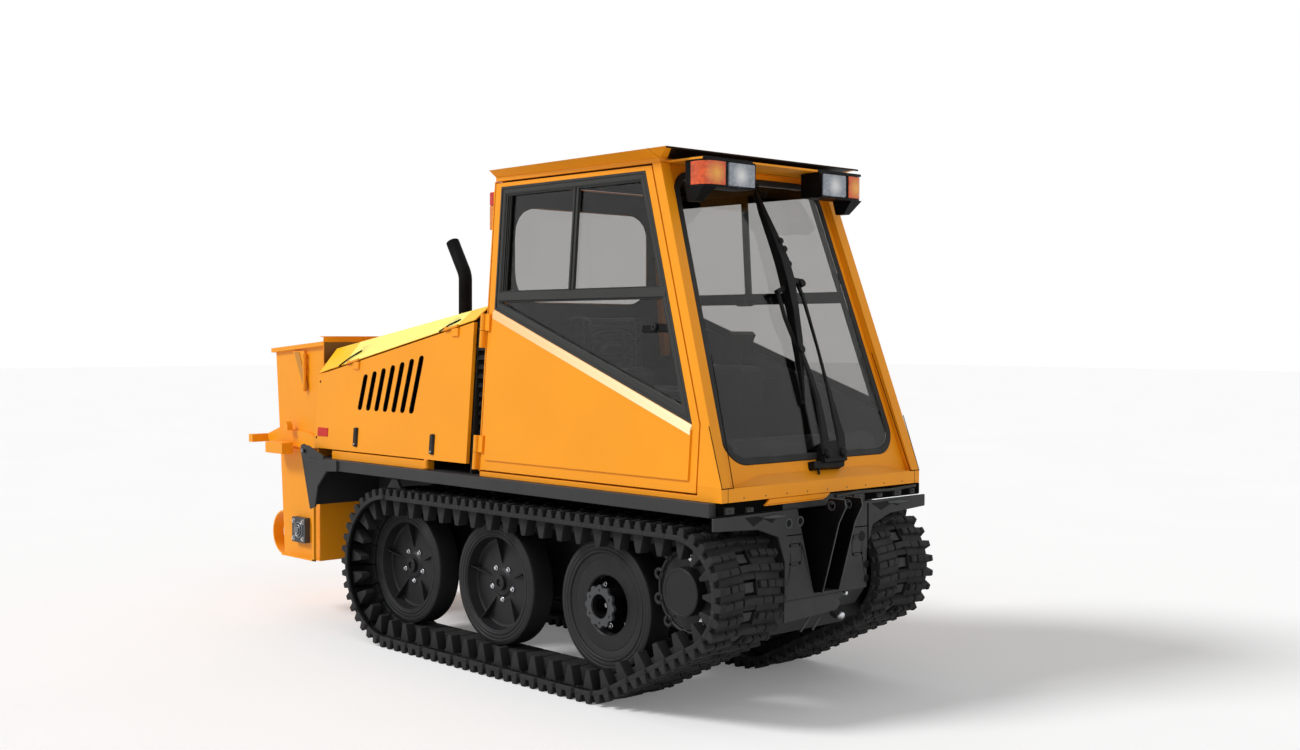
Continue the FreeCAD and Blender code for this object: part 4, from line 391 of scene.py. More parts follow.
class Build:
    """Gathers closed forms into one mesh, then makes it a piece of the machine.

    A form gets the material it names, or else the first one.
    """

    def __init__(self, *materials):
        self.mesh = bmesh.new()
        self.materials = materials

    def add(self, rings, plane=WORLD, material=None, wrap=False, capped=True):
        """Joins loops of points with faces; with wrap the last loop joins the first."""
        rows = [[self.mesh.verts.new(plane @ Vector(p)) for p in ring] for ring in rings]
        count = len(rows[0])
        made = []
        for first, second in zip(rows, rows[1:] + (rows[:1] if wrap else [])):
            for i in range(count):
                j = (i + 1) % count
                made.append(self.mesh.faces.new((first[i], first[j], second[j], second[i])))
        if capped:
            made.append(self.mesh.faces.new(rows[0][::-1]))
            made.append(self.mesh.faces.new(rows[-1]))
        for face in made:
            face.material_index = self.materials.index(material) if material else 0
            face.smooth = True

    def slab(self, outline, low, high, plane, material=None, shrink=0.0):
        """An outline in the plane raised from low to high, drawn in at the top by shrink."""
        upper = inset(outline, shrink) if shrink else outline
        self.add([[(x, y, low) for x, y in outline], [(x, y, high) for x, y in upper]], plane, material)

    def block(self, x, y, low, high, plane, material=None, shrink=0.0):
        self.slab(rect(*sorted(x), *sorted(y)), low, high, plane, material, shrink)

    def lathe(self, profile, plane, material=None, steps=32):
        """A (radius, out) profile turned about the plane's Z axis. A radius of 0 closes an end."""
        self.add([[(max(radius, TINY) * math.cos(a), max(radius, TINY) * math.sin(a),
                    out) for a in circle(steps)]
                  for radius, out in profile], plane, material)

    def ring(self, profile, plane, material=None, steps=48):
        """A closed (radius, out) profile turned about the plane's Z axis."""
        self.add([[(r * math.cos(a), r * math.sin(a), out) for r, out in profile] for a in circle(steps)],
                 plane, material, wrap=True, capped=False)

    def band(self, outer, inner, low, high, plane, material=None):
        """A closed frame between two outlines with as many points each."""
        self.add([[(x0, y0, low), (x0, y0, high), (x1, y1, high), (x1, y1, low)]
                  for (x0, y0), (x1, y1) in zip(outer, inner)], plane, material, wrap=True, capped=False)

    def line(self, start, end, width, low, high, plane, material=None):
        """A straight strip of the plane, from start to end."""
        start, end = Vector(start), Vector(end)
        along = (end - start).normalized()
        across = Vector((-along.y, along.x)) * width / 2
        self.slab([tuple(corner) for corner in (start - across, end - across, end + across, start + across)],
                  low, high, plane, material)

    def disc(self, centre, radius, low, high, plane, material=None, steps=28, shrink=0.0008):
        """A round plate with a softened rim."""
        self.lathe([(0, low), (radius, low), (radius, high - shrink), (radius - shrink, high), (0, high)],
                   at(plane, *centre), material, steps)

    def washer(self, centre, inner, outer, low, high, plane, material=None, steps=36):
        rim = (outer - inner) * 0.2
        self.ring([(outer, low), (outer, high - rim), (outer - rim, high), (inner + rim, high),
                   (inner, high - rim), (inner, low)], at(plane, *centre), material, steps)

    def ribbon(self, points, half_width, thick, side):
        """A strip laid along points of the XZ plane, its middle at y = side and thick towards its left."""
        rings = []
        for i, (x, z) in enumerate(points):
            before, after = Vector(points[max(i - 1, 0)]), Vector(points[min(i + 1, len(points) - 1)])
            along = (after - before).normalized()
            outer = Vector((x, z)) + Vector((-along.y, along.x)) * thick
            rings.append([(x, side - half_width, z), (x, side + half_width, z),
                          (outer.x, side + half_width, outer.y), (outer.x, side - half_width, outer.y)])
        self.add(rings)

    def tube(self, points, radius, material=None, steps=12):
        """A round bar along points, its radius one number or one for each point."""
        points = [Vector(p) for p in points]
        radii = radius if isinstance(radius, (list, tuple)) else [radius] * len(points)
        across = None
        rings = []
        for i, point in enumerate(points):
            before, after = points[max(i - 1, 0)], points[min(i + 1, len(points) - 1)]
            along = (after - before).normalized()
            if across is None:
                across = along.orthogonal().normalized()
            across = (across - along * across.dot(along)).normalized()
            third = along.cross(across)
            rings.append([point + (across * math.cos(a) + third * math.sin(a)) * radii[i]
                          for a in circle(steps)])
        self.add(rings, WORLD, material)

    def bolt(self, plane, size, material=None):
        """A hexagon head, as wide as size, on a washer."""
        self.lathe([(0, 0), (size * 0.72, 0), (size * 0.72, size * 0.1), (size * 0.5, size * 0.14),
                    (0, size * 0.14)], plane, material, 20)
        corners = [(size * 0.56 * math.cos(math.radians(60 * i)),
                    size * 0.56 * math.sin(math.radians(60 * i)))
                   for i in range(6)]
        self.slab(corners, size * 0.1, size * 0.5, plane, material, size * 0.05)

    def mirrored(self):
        """The same forms on the machine's other side."""
        other = Build(*self.materials)
        other.mesh.free()
        other.mesh = self.mesh.copy()
        bmesh.ops.transform(other.mesh, matrix=MIRROR, verts=other.mesh.verts)
        bmesh.ops.reverse_faces(other.mesh, faces=other.mesh.faces)
        return other

    def data(self, name):
        """The mesh with its materials. The build is used up."""
        data = bpy.data.meshes.new(name)
        self.mesh.to_mesh(data)
        self.mesh.free()
        for material in self.materials:
            data.materials.append(material)
        return data

    def done(self, name, slot, body="chassis", edge=0.0015, segments=2, replaces=()):
        bmesh.ops.recalc_face_normals(self.mesh, faces=self.mesh.faces)
        item = placed(name, self.data(name))
        if edge:
            soften(item, edge, segments)
        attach(item, body)
        if replaces:
            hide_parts(*replaces)


def inset(outline, distance):
    """An outline drawn in by a distance on every side, by moving each corner along its bisector."""
    turn = sum(x0 * y1 - x1 * y0 for (x0, y0), (x1, y1) in zip(outline, outline[1:] + outline[:1]))
    sign = 1 if turn > 0 else -1
    moved = []
    count = len(outline)
    for i, (x, y) in enumerate(outline):
        corner = Vector((x, y))
        before = (corner - Vector(outline[i - 1])).normalized()
        after = (Vector(outline[(i + 1) % count]) - corner).normalized()
        inward = (Vector((-before.y, before.x)) + Vector((-after.y, after.x))) * sign
        reach = distance * 2 / max(inward.length_squared, 0.3)
        moved.append((x + inward.x * reach, y + inward.y * reach))
    return moved


def rounded(outline, radius, steps=5):
    """An outline with every corner rounded."""
    points = []
    count = len(outline)
    for i, corner in enumerate(outline):
        here = Vector(corner)
        back = Vector(outline[i - 1]) - here
        on = Vector(outline[(i + 1) % count]) - here
        cut = min(radius, back.length * 0.45, on.length * 0.45)
        start, end = here + back.normalized() * cut, here + on.normalized() * cut
        for step in range(steps + 1):
            t = step / steps
            point = start * (1 - t) ** 2 + here * (2 * t * (1 - t)) + end * t ** 2
            points.append((point.x, point.y))
    return points


def both(build, name, slot, body="chassis", replaces=(), **options):
    """Makes a right-side build and its mirror. A name ending in _ gets the side's name."""
    for side, shape in (("left", build.mirrored()), ("right", build)):
        carried = body + side if body.endswith("_") else body
        shape.done(f"{name}_{side}", slot, carried, replaces=[node + side for node in replaces], **options)


# -------------------------------------------------------------------- running gear

RIBS, LOBES = 5, 11
BELT_THICK = 0.052
LUG_HEIGHT = 0.019
CARCASS = BELT_THICK - LUG_HEIGHT
PATH_HEIGHT = 0.049
SPROCKET_TIP = 0.255
GUIDE_HEIGHT = 0.076
LUG_PITCH = 0.0595


def outward(angle):
    return Vector((math.cos(angle), 0, math.sin(angle)))


class Belt:
    """The closed line of a track's outer face between its lugs, seen from the side."""

    def __init__(self):
        rear, front, drive = middle("wheel_rear_left"), middle("wheel_front_left"), middle("sprocket_left")
        around = rear.z - LUG_HEIGHT
        circles = [(rear, around), (front, around), (drive, SPROCKET_TIP - LUG_HEIGHT)]
        circles = [(Vector((centre.x, 0, centre.z)), radius) for centre, radius in circles]
        pairs = list(zip(circles, circles[1:] + circles[:1]))
        angles = []
        for (start, start_radius), (end, end_radius) in pairs:
            span = end - start
            angles.append(math.atan2(span.z, span.x) - math.acos((start_radius - end_radius) / span.length))
        self.stretches = []
        for i, ((centre, radius), (following, following_radius)) in enumerate(pairs):
            first, last = angles[i - 1], angles[i]
            while last < first:
                last += 2 * math.pi
            self.stretches.append((radius * (last - first), centre, radius, first, None))
            start, end = centre + outward(last) * radius, following + outward(last) * following_radius
            self.stretches.append(((end - start).length, start, None, last, end))
        self.length = sum(stretch[0] for stretch in self.stretches)
        self.modules = round(self.length / (2 * LUG_PITCH))
        self.pitch = self.length / self.modules

    def at(self, distance):
        """The point and the outward direction this far along the line."""
        distance %= self.length
        for length, start, radius, angle, end in self.stretches:
            if distance <= length:
                if end is not None:
                    return start + (end - start) * (distance / length), outward(angle)
                turned = angle + distance / radius
                return start + outward(turned) * radius, outward(turned)
            distance -= length
        return self.at(0.0)


BELT = Belt()


def bent(build, centre, profile, material=None, slices=1):
    """A closed form laid on the belt. profile(t) gives (along, across, out) loops for t from 0 to 1."""
    rings = []
    for i in range(slices + 1):
        ring = []
        for along, across, out in profile(i / slices):
            point, direction = BELT.at(centre + along)
            ring.append((point.x + direction.x * out, across, point.z + direction.z * out))
        rings.append(ring)
    build.add(rings, WORLD, material)


def strip(first, last, low, high, bottom, top):
    """A box's cross-sections along the belt, from first to last."""
    def profile(t):
        along = first + (last - first) * t
        return [(along, low, bottom), (along, high, bottom), (along, high, top), (along, low, top)]
    return profile


def tooth(middle_along, base, tip, low, high, bottom, top, shift=0.0):
    """A trapezoid tooth's cross-sections across the belt, from low to high, chevroned by shift."""
    def profile(t):
        across = low + (high - low) * t
        centre = middle_along + shift * t
        return [(centre - base / 2, across, bottom), (centre + base / 2, across, bottom),
                (centre + tip / 2, across, top), (centre - tip / 2, across, top)]
    return profile


# Half a window's width, and how the belt's edge and its blocks are laid out across it.
WINDOW_HALF = 0.034
EDGE, NOTCH = 0.018, 0.013
BLOCKS, BLOCK_GAP, CHEVRON = 3, 0.006, 0.012
# How deep a form is sunk into the one that carries it.
SUNK = 0.002
# Lengths of the teeth along the belt, at the base and at the tip.
EDGE_LUG, BLOCK, GUIDE, INLAY = (0.04, 0.022), (0.034, 0.023), (0.066, 0.026), (0.044, 0.04)


def make_track():
    """One belt: a bent carcass with windows, rows of outer blocks and inner guide lugs."""
    build = Build(TRACK, PAD)
    outer, inner, centre = -TRACK_OUTER, -TRACK_INNER, -TRACK_MIDDLE
    quarter, edge = BELT.pitch / 4, BELT.pitch / 2
    half_window = BELT.pitch * 0.26
    for module in range(BELT.modules):
        place = (module + 0.5) * BELT.pitch
        for low, high in ((outer + EDGE, centre - WINDOW_HALF), (centre + WINDOW_HALF, inner - EDGE)):
            bent(build, place, strip(-edge, edge, low, high, -CARCASS, 0), slices=6)
        for low, high in ((outer, outer + EDGE), (inner - EDGE, inner)):
            bent(build, place, strip(-edge, edge, low, high, -CARCASS, -NOTCH), slices=6)
            for along in (-quarter, quarter):
                bent(build, place, tooth(along, *EDGE_LUG, low, high, -NOTCH - SUNK, LUG_HEIGHT))
        bent(build, place + quarter, tooth(0, *INLAY, centre - 0.025, centre + 0.025, -CARCASS, -0.008), PAD)
        bent(build, place, strip(quarter + half_window - BELT.pitch, quarter - half_window,
                                 centre - WINDOW_HALF, centre + WINDOW_HALF, -CARCASS, -SUNK), slices=3)
        bent(build, place, strip(-edge * 0.94, edge * 0.94, -WHEEL_FACE, -WHEEL_INNER,
                                 -CARCASS - PATH_HEIGHT, -CARCASS + SUNK), slices=4)
        bent(build, place, tooth(0, *GUIDE, outer + 0.03, outer + 0.08, -CARCASS + SUNK,
                                 -CARCASS - GUIDE_HEIGHT))
        for row, (along, split) in enumerate(((-quarter, 0.0), (quarter, WINDOW_HALF + 0.004))):
            for direction in (-1, 1):
                start, stop = centre + direction * split, (inner - EDGE if direction > 0 else outer + EDGE)
                width, gap = (stop - start) / BLOCKS, BLOCK_GAP * direction
                for i in range(BLOCKS):
                    low = start + i * width + (gap / 2 if i or split else 0)
                    high = start + (i + 1) * width - (gap / 2 if i < BLOCKS - 1 else 0)
                    near, far = abs(low - centre) / TRACK_WIDTH * 2, abs(high - centre) / TRACK_WIDTH * 2
                    lift = LUG_HEIGHT - (0.003 if (i + row) % 2 else 0)
                    bent(build, place, tooth(along + CHEVRON * (1 - near), *BLOCK, low, high, -SUNK, lift,
                                             CHEVRON * (near - far)))
    both(build, "track_belt", "track_rubber", replaces=["track_"], edge=0.0024, segments=1)


def make_wheels():
    """Road wheels: rubber tyre with grooves, dished disc with ribs and bolts, or the flat front disc."""
    depth = WHEEL_FACE - WHEEL_INNER
    radius = (HIGH["wheel_rear_right"].z - LOW["wheel_rear_right"].z) / 2
    for tag in ("rear", "middle", "front"):
        centre = middle(f"wheel_{tag}_right")
        plane = at(FLANK, centre.x, centre.z, WHEEL_FACE)
        build = Build(TYRE, WHEEL, ZINC, SHADE_AND_SEAM_BLACK, CASTING)
        build.ring([
            (radius - 0.016, 0), (radius - 0.005, -0.005), (radius, -0.016), (radius, -depth + 0.016),
            (radius - 0.005, -depth + 0.005), (radius - 0.016, -depth), (0.214, -depth), (0.214, -0.004),
            (0.218, 0), (0.226, 0), (0.228, -0.003), (0.231, -0.003), (0.233, 0),
            (0.243, 0.0), (0.245, -0.002), (0.247, -0.002), (0.249, 0),
        ], plane, TYRE, 96)
        if tag == "front":
            build.ring([(0.213, -0.006), (0.19, -0.01), (0.186, -0.012), (0.182, -0.01), (0.126, -0.013),
                        (0.12, -0.018), (0.118, -0.05), (0.213, -0.05)], plane, WHEEL, 72)
            build.ring([(0.12, -0.045), (0.12, -0.075), (0.0, -0.075), (0.0, -0.07), (0.03, -0.07),
                        (0.034, 0.018), (0.062, 0.018), (0.066, -0.066), (0.114, -0.068)], plane, SHADE_AND_SEAM_BLACK)
            make_hub_ring(build, plane)
        else:
            build.ring([(0.213, -0.004), (0.207, -0.006), (0.196, -0.05), (0.184, -0.056), (0.066, -0.048),
                        (0.055, -0.04), (0.0, -0.04), (0.0, -0.07), (0.213, -0.07)], plane, WHEEL, 72)
            for i in range(RIBS):
                build.add([[(x, -0.003, -0.06), (x, 0.003, -0.06), (x, top, out), (x, -top, out)]
                           for x, top, out in ((0.085, 0.002, -0.046), (0.207, 0.0015, -0.014))],
                          spun(plane, 360 / RIBS * i + 20), WHEEL)
                build.bolt(spun(plane, 360 / RIBS * i + 55, 0.075, -0.046), 0.016, ZINC)
            build.ring([(0.034, -0.04), (0.034, -0.026), (0.030, -0.024), (0.017, -0.024), (0.015, -0.028),
                        (0.015, -0.04)], plane, WHEEL, 32)
            build.lathe([(0, -0.042), (0.014, -0.042), (0.014, -0.034), (0.011, -0.032), (0, -0.032)],
                        plane, WHEEL, 24)
        both(build, f"road_wheel_{tag}", "running_gear", replaces=[f"wheel_{tag}_"], edge=0.0008)


def make_hub_ring(build, plane):
    """The front wheel's grey lobed ring, the bolts round it and the one in its middle."""
    outer, inner = [], []
    for angle in circle(96):
        reach = 0.083 + 0.005 * math.tanh(3 * math.cos(12 * angle))
        outer.append((reach * math.cos(angle), reach * math.sin(angle)))
        inner.append((0.05 * math.cos(angle), 0.05 * math.sin(angle)))
    build.add([[(x, y, z) for x, y in loop] for loop, z in
               ((inner, 0.014), (outer, 0.014), (outer, 0.028), (inner, 0.028))], plane, CASTING, wrap=True,
              capped=False)
    for i in range(6):
        build.bolt(spun(plane, 60 * i + 12, 0.1, -0.064), 0.017, ZINC)
        build.lathe([(0, 0.026), (0.006, 0.026), (0.006, 0.0288), (0, 0.0292)],
                    spun(plane, 60 * i + 30, 0.067), WHEEL, 16)
    build.bolt(at(plane, out=-0.02), 0.022, ZINC)


def make_drives():
    """Sprocket rings with looped lobes, and the bolts on the final drives, those in shade painted dark."""
    centre = middle("sprocket_right")
    low, high = LOW["sprocket_right"], HIGH["sprocket_right"]
    plane = at(FLANK, centre.x, centre.z, -low.y)
    depth, reach = high.y - low.y, (high.z - low.z) / 2
    build = Build(WHEEL)
    build.ring([(0.152, -0.004), (0.156, 0), (reach - 0.035, 0), (reach - 0.03, -0.003),
                (reach - 0.03, -depth + 0.003), (reach - 0.035, -depth), (0.152, -depth)], plane, WHEEL, 88)
    for i in range(LOBES):
        build.ring([(0.0245, -0.003), (0.022, 0), (0.013, 0), (0.0105, -0.003), (0.0105, -depth + 0.003),
                    (0.013, -depth), (0.022, -depth), (0.0245, -depth + 0.003)],
                   spun(plane, 360 * i / LOBES, reach - 0.025), WHEEL, 28)
    both(build, "sprocket_ring", "running_gear", replaces=["sprocket_"], edge=0.0)
    cap = at(FLANK, centre.x, centre.z, -LOW["final_drive_right"].y)
    bolts = Build(ZINC, WHEEL)
    # Two bolts are bright zinc; the others take the dark running-gear finish as painted shade.
    for i in range(5):
        bolts.bolt(spun(cap, 72 * i + 86, 0.126, -0.048), 0.018, WHEEL if i % 3 else ZINC)
    bolts.ring([(0.1495, -0.047), (0.1475, -0.045), (0.1455, -0.045), (0.1435, -0.048)], cap, WHEEL, 72)
    bolts.ring([(0.088, 0.0005), (0.086, 0.002), (0.084, 0.0005), (0.084, -0.001), (0.088, -0.001)],
               cap, WHEEL, 64)
    both(bolts, "drive_bolts", "running_gear", edge=0.0005)


# ---------------------------------------------------------------- doors and windows

WINDOW_REAR = LOW["window_frame_right"].x - CAB_REAR
WINDOW_FRONT = HIGH["window_frame_right"].x - CAB_REAR
WINDOW_TOP = (HIGH["window_frame_right"].z - BASE_TOP) / math.cos(LEAN)
SILL_FRONT = (LOW["window_frame_right"].z - BASE_TOP) / math.cos(LEAN)
SILL_REAR = 0.676
BAR_LOW, BAR_HIGH = 0.714, 0.75
RAKE_SLOPE = math.tan(RAKE)
SASH = 0.034
SLIDER_REAR, SLIDER_FRONT = 0.528, 0.563


def raked_x(start, height):
    """Where a line parallel to the raked front lies at a height, from its start corner."""
    return start[0] - (height - start[1]) * RAKE_SLOPE


def window(edge=0.0):
    """The door window's outline in the side plane, drawn in by edge."""
    top_front = raked_x((WINDOW_FRONT, SILL_FRONT), WINDOW_TOP)
    return inset([(WINDOW_REAR, SILL_REAR), (WINDOW_FRONT, SILL_FRONT), (top_front, WINDOW_TOP),
                  (WINDOW_REAR, WINDOW_TOP)], edge)


def panes():
    """The openings below and above the window's bar."""
    low_rear, low_front, top_front, top_rear = window(SASH)
    low = [low_rear, low_front, (raked_x(low_front, BAR_LOW), BAR_LOW), (low_rear[0], BAR_LOW)]
    high = [(low_rear[0], BAR_HIGH), (raked_x(low_front, BAR_HIGH), BAR_HIGH), top_front, top_rear]
    return low, high


def make_windows():
    """Beads, seals, slider rail and mullion of both windows, the right one's latch, the left one's catch."""
    build = Build(BLACK, SEAL, SHADE_AND_SEAM_BLACK, HOUSING)
    low, high = panes()
    build.band(window(0.0005), window(0.01), -0.004, 0.0014, SIDE)
    build.band(window(0.016), window(0.03), -0.004, -0.0006, SIDE)
    for opening in (low, high):
        build.band(inset(opening, -0.001), inset(opening, 0.007), -0.0168, -0.005, SIDE, SEAL)
    rear, top = high[0][0], high[2][1]
    for x0, x1, bottom, out, material, shrink in (
            (SLIDER_REAR, SLIDER_FRONT, -0.0162, -0.003, BLACK, 0.002),
            (SLIDER_REAR + 0.012, SLIDER_FRONT - 0.014, -0.0031, -0.0012, HOUSING, 0.001),
            (rear, rear + 0.04, -0.0163, -0.011, SHADE_AND_SEAM_BLACK, 0)):
        build.block((x0, x1), (BAR_HIGH, top), bottom, out, SIDE, material, shrink)
    for i in range(3):
        build.block((rear + 0.008 + 0.012 * i, rear + 0.0115 + 0.012 * i), (BAR_HIGH, top), -0.0163, -0.004,
                    SIDE)
    build.block((WINDOW_REAR + 0.012, raked_x(low[1], BAR_LOW) + 0.02), (BAR_LOW - 0.002, BAR_HIGH + 0.002),
                -0.006, 0.0006, SIDE, BLACK, 0.003)
    both(build, "window_trim", "frame_black", "door_", edge=0.0008)
    latch = Build(HOUSING, BLACK)
    latch.slab(rounded([(0.985, 0.574), (1.15, 0.578), (1.15, 0.612), (0.985, 0.606)], 0.01), -0.0163, -0.006,
               SIDE, HOUSING, 0.002)
    latch.lathe([(0, -0.008), (0.017, -0.008), (0.017, -0.001), (0.013, 0.002), (0, 0.003)],
                at(SIDE, 1.06, 0.597), HOUSING, 28)
    latch.washer((1.06, 0.597), 0.008, 0.012, 0.0015, 0.0045, SIDE, BLACK)
    latch.done("window_latch", "frame_black", "door_right", edge=0.0008)
    catch = Build(HOUSING, BLACK)
    catch.slab(rounded([(0.5, BAR_LOW - 0.012), (0.6, BAR_LOW - 0.012), (0.6, BAR_LOW + 0.012),
                        (0.5, BAR_LOW + 0.016)], 0.008), -0.05, -0.0316, SIDE, HOUSING, 0.003)
    catch.disc((0.56, BAR_LOW), 0.008, -0.054, -0.03, SIDE, BLACK, 16)
    other = catch.mirrored()
    catch.mesh.free()
    other.done("slider_catch", "frame_black", "door_left", edge=0.0008)


def make_door_details():
    """The chamfer above the raised skin in paler paint as a painted highlight, and the dark lining inside
    each door.
    """
    build = Build(PAINT_CHAMFER_HIGHLIGHT)
    rear, front = WINDOW_REAR, WINDOW_FRONT
    # The chamfer strip carries the painted highlight.
    build.add([[(x, sill - 0.001, -0.001), (x, sill - 0.04, -0.001), (x, sill - 0.04, 0.0092),
                (x, sill - 0.0385, 0.0096), (x, sill - 0.012, 0.0094), (x, sill - 0.001, 0.0012)]
               for x, sill in ((rear + 0.0005, SILL_REAR), (front - 0.0005, SILL_FRONT))], SIDE)
    both(build, "door_chamfer_highlight", "body_paint", "door_", edge=0.0006)
    lining = Build(TRIM)
    outline = [(0.02, 0.006), (1.322, 0.006), (1.322, 0.2), (front + 0.004, SILL_FRONT - 0.006),
               (rear - 0.004, SILL_REAR - 0.006), (0.02, SILL_REAR - 0.02)]
    lining.slab(outline, -0.035, -0.0303, SIDE, TRIM, 0.002)
    lining.band(window(-0.03), window(0.004), -0.0346, -0.0303, SIDE)
    lining.band(window(-0.0008), window(0.0035), -0.0305, -0.0195, SIDE)
    lining.slab(rounded([(0.25, 0.3), (0.95, 0.24), (0.95, 0.3), (0.25, 0.36)], 0.02), -0.046, -0.0345, SIDE,
                TRIM, 0.006)
    lining.block((0.08, 0.62), (0.06, 0.16), -0.05, -0.0345, SIDE, TRIM, 0.006)
    both(lining, "door_lining", "frame_black", "door_", edge=0.001)


# ---------------------------------------------------------------------- cab outside

def make_wiper():
    """Motor cover, two arms and a long bowed blade parked over the middle of the windshield."""
    build = Build(JET, SEAL)
    face = at(FRONT, out=-0.028)
    build.slab(rounded([(-0.066, 0.044), (0.122, 0.04), (0.134, 0.07), (-0.06, 0.08)], 0.01), 0.0, 0.03,
               face, JET, 0.004)
    build.slab(rounded([(-0.012, 0.06), (0.142, 0.06), (0.15, 0.14), (0.12, 0.16), (0.03, 0.15), (0.0, 0.1)],
                       0.012), 0.0, 0.04, face, JET, 0.006)
    # Each arm's middle and width at its bends.
    for arm in (((0.022, 0.1, 0.046), (0.03, 0.17, 0.046), (0.04, 0.228, 0.042), (0.05, 0.337, 0.03),
                 (0.037, 0.46, 0.026), (0.028, 0.534, 0.026), (0.006, 0.6, 0.024), (-0.01, 0.671, 0.022),
                 (-0.014, 0.777, 0.018)),
                ((0.118, 0.1, 0.056), (0.13, 0.16, 0.056), (0.128, 0.273, 0.036), (0.129, 0.397, 0.016),
                 (0.134, 0.534, 0.013), (0.135, 0.685, 0.016), (0.133, 0.768, 0.02), (0.12, 0.818, 0.022))):
        rings = []
        for i, (x, y, width) in enumerate(arm):
            rise = 0.032 + 0.014 * math.sin(math.pi * min(1.0, i / (len(arm) - 1) + 0.25))
            rings.append([(x - width / 2, y, rise - 0.008), (x + width / 2, y, rise - 0.008),
                          (x + width / 2 * 0.7, y, rise), (x - width / 2 * 0.7, y, rise)])
        build.add(rings, face)
    for x, y in ((0.026, 0.1), (0.12, 0.1)):
        build.lathe([(0, 0.02), (0.02, 0.02), (0.02, 0.046), (0.014, 0.052), (0, 0.053)], at(face, x, y),
                    JET, 24)
    build.line((-0.024, 0.779), (0.062, 0.812), 0.02, 0.018, 0.036, face)
    build.line((0.04, 0.838), (0.141, 0.826), 0.024, 0.018, 0.038, face)
    for x, y, radius, high in ((0.138, 0.82, 0.016, 0.044), (0.052, 0.832, 0.02, 0.046),
                               (0.03, 0.535, 0.017, 0.044)):
        build.disc((x, y), radius, 0.018, high, face, JET, 20)
    # The blade's middle, its height on the glass, its width and its rise.
    blade = ((0.019, 1.22, 0.014, 0.014), (0.024, 1.13, 0.026, 0.026), (0.042, 1.02, 0.036, 0.036),
             (0.056, 0.92, 0.046, 0.042), (0.057, 0.823, 0.048, 0.044), (0.045, 0.69, 0.034, 0.04),
             (0.031, 0.572, 0.032, 0.034), (0.012, 0.448, 0.018, 0.022), (-0.006, 0.326, 0.006, 0.01))
    build.add([section(x - width / 2, x + width / 2, y, 0.008, 0.008 + rise) for x, y, width, rise in blade],
              face)
    build.add([section(x - 0.003, x + 0.003, y, 0.0022, 0.01) for x, y, _, _ in blade], face, SEAL)
    for x, y in ((0.062, 1.0), (0.074, 0.965), (0.078, 0.9)):
        build.disc((x, y), 0.013, 0.02, 0.05, face, JET, 16)
    build.lathe([(0, 0.004), (0.006, 0.004), (0.008, 0.01), (0.006, 0.016), (0, 0.017)],
                at(face, -0.008, 0.318), JET, 16)
    for radius, points in ((0.004, ((0.044, 1.264, 0.006), (0.068, 1.2, 0.01), (0.102, 1.236, 0.008))),
                           (0.005, ((-0.03, 0.046, 0.02), (-0.032, 0.024, 0.02)))):
        build.tube([face @ Vector(point) for point in points], radius)
    build.done("windshield_wiper", "frame_black", edge=0.0012)


def make_front_panel():
    """The creased ledge, wiper patch, seams and rivets of the cab's lower front, and the works below it
    against a near-black sheet of painted shade.
    """
    build = Build(PAINT, SHADE_AND_SEAM_BLACK, BLACK)
    foot, sill = CAB_FRONT - 0.0322, BASE_TOP - 0.0004
    build.add([[(CAB_FRONT - 0.001, y, sill), (foot, y, sill),
                (foot - 0.0108 * share, y, BASE_TOP + 0.0322 * share),
                (foot - 0.0068 * share, y, BASE_TOP + 0.033 * share)]
               for y, share in ((-0.535, 0.02), (-0.345, 1.0), (0.345, 1.0), (0.535, 0.02))])
    build.slab([(-0.15, 0.075), (-0.1, 0.037), (0.16, 0.037), (0.2, 0.075)], -0.0305, -0.028, FRONT, PAINT,
               0.001)
    low = BASE_LOW
    for y in (-0.566, 0.566):
        build.block((y - 0.001, y + 0.001), (low, BASE_TOP), -0.001, 0.0004, CAB_FACE, SHADE_AND_SEAM_BLACK)
    for i in range(9):
        build.disc((-0.48 + 0.12 * i, low + 0.013), 0.003, 0, 0.0012, CAB_FACE, BLACK, 10, 0.0005)
    for side in (-1, 1):
        for start, end, bottom, top in (((0.486, 0.52), (0.537, -0.002), -0.001, 0.0007),
                                        ((0.5885, 0.24), (0.5975, 0.0), -0.001, 0.0009),
                                        ((0.537, 0.0), (0.6, 0.0), -0.003, 0.0009)):
            build.line((side * start[0], start[1]), (side * end[0], end[1]), 0.003, bottom, top, FRONT, SHADE_AND_SEAM_BLACK)
    build.slab([(-0.36, low - 0.024), (0.0, low - 0.022), (0.03, low - 0.001), (-0.33, low - 0.001)],
               -0.011, -0.005, CAB_FACE, PAINT, 0.002)
    build.slab([(-0.36, low - 0.027), (-0.02, low - 0.026), (-0.01, low - 0.021), (-0.36, low - 0.022)],
               -0.012, -0.002, CAB_FACE, PAINT, 0.001)
    build.done("cab_front_panel", "body_paint", edge=0.0008)
    works = Build(SHADE_AND_SEAM_BLACK, CHASSIS, BLACK)
    # A near-black sheet behind the works: painted shade.
    works.block((-0.6, 0.62), (low - 0.05, low - 0.002), -0.034, -0.0135, CAB_FACE, SHADE_AND_SEAM_BLACK, 0.002)
    for y, width, rise in ((-0.55, 0.05, 0.03), (-0.44, 0.04, 0.022), (0.2, 0.06, 0.03), (0.34, 0.035, 0.022),
                           (0.46, 0.05, 0.034), (0.56, 0.03, 0.026)):
        works.block((y - width / 2, y + width / 2), (low - 0.046, low - 0.046 + rise), -0.015, -0.004,
                    CAB_FACE, BLACK, 0.003)
        works.bolt(at(CAB_FACE, y, low - 0.032, -0.005), 0.01, CHASSIS)
    works.tube([(CAB_FRONT - back, y, low - drop) for back, y, drop in (
        (0.008, 0.06, 0.02), (0.006, 0.2, 0.012), (0.006, 0.4, 0.018), (0.008, 0.58, 0.012))], 0.007, BLACK)
    works.done("under_cab_works", "frame_black", edge=0.001)


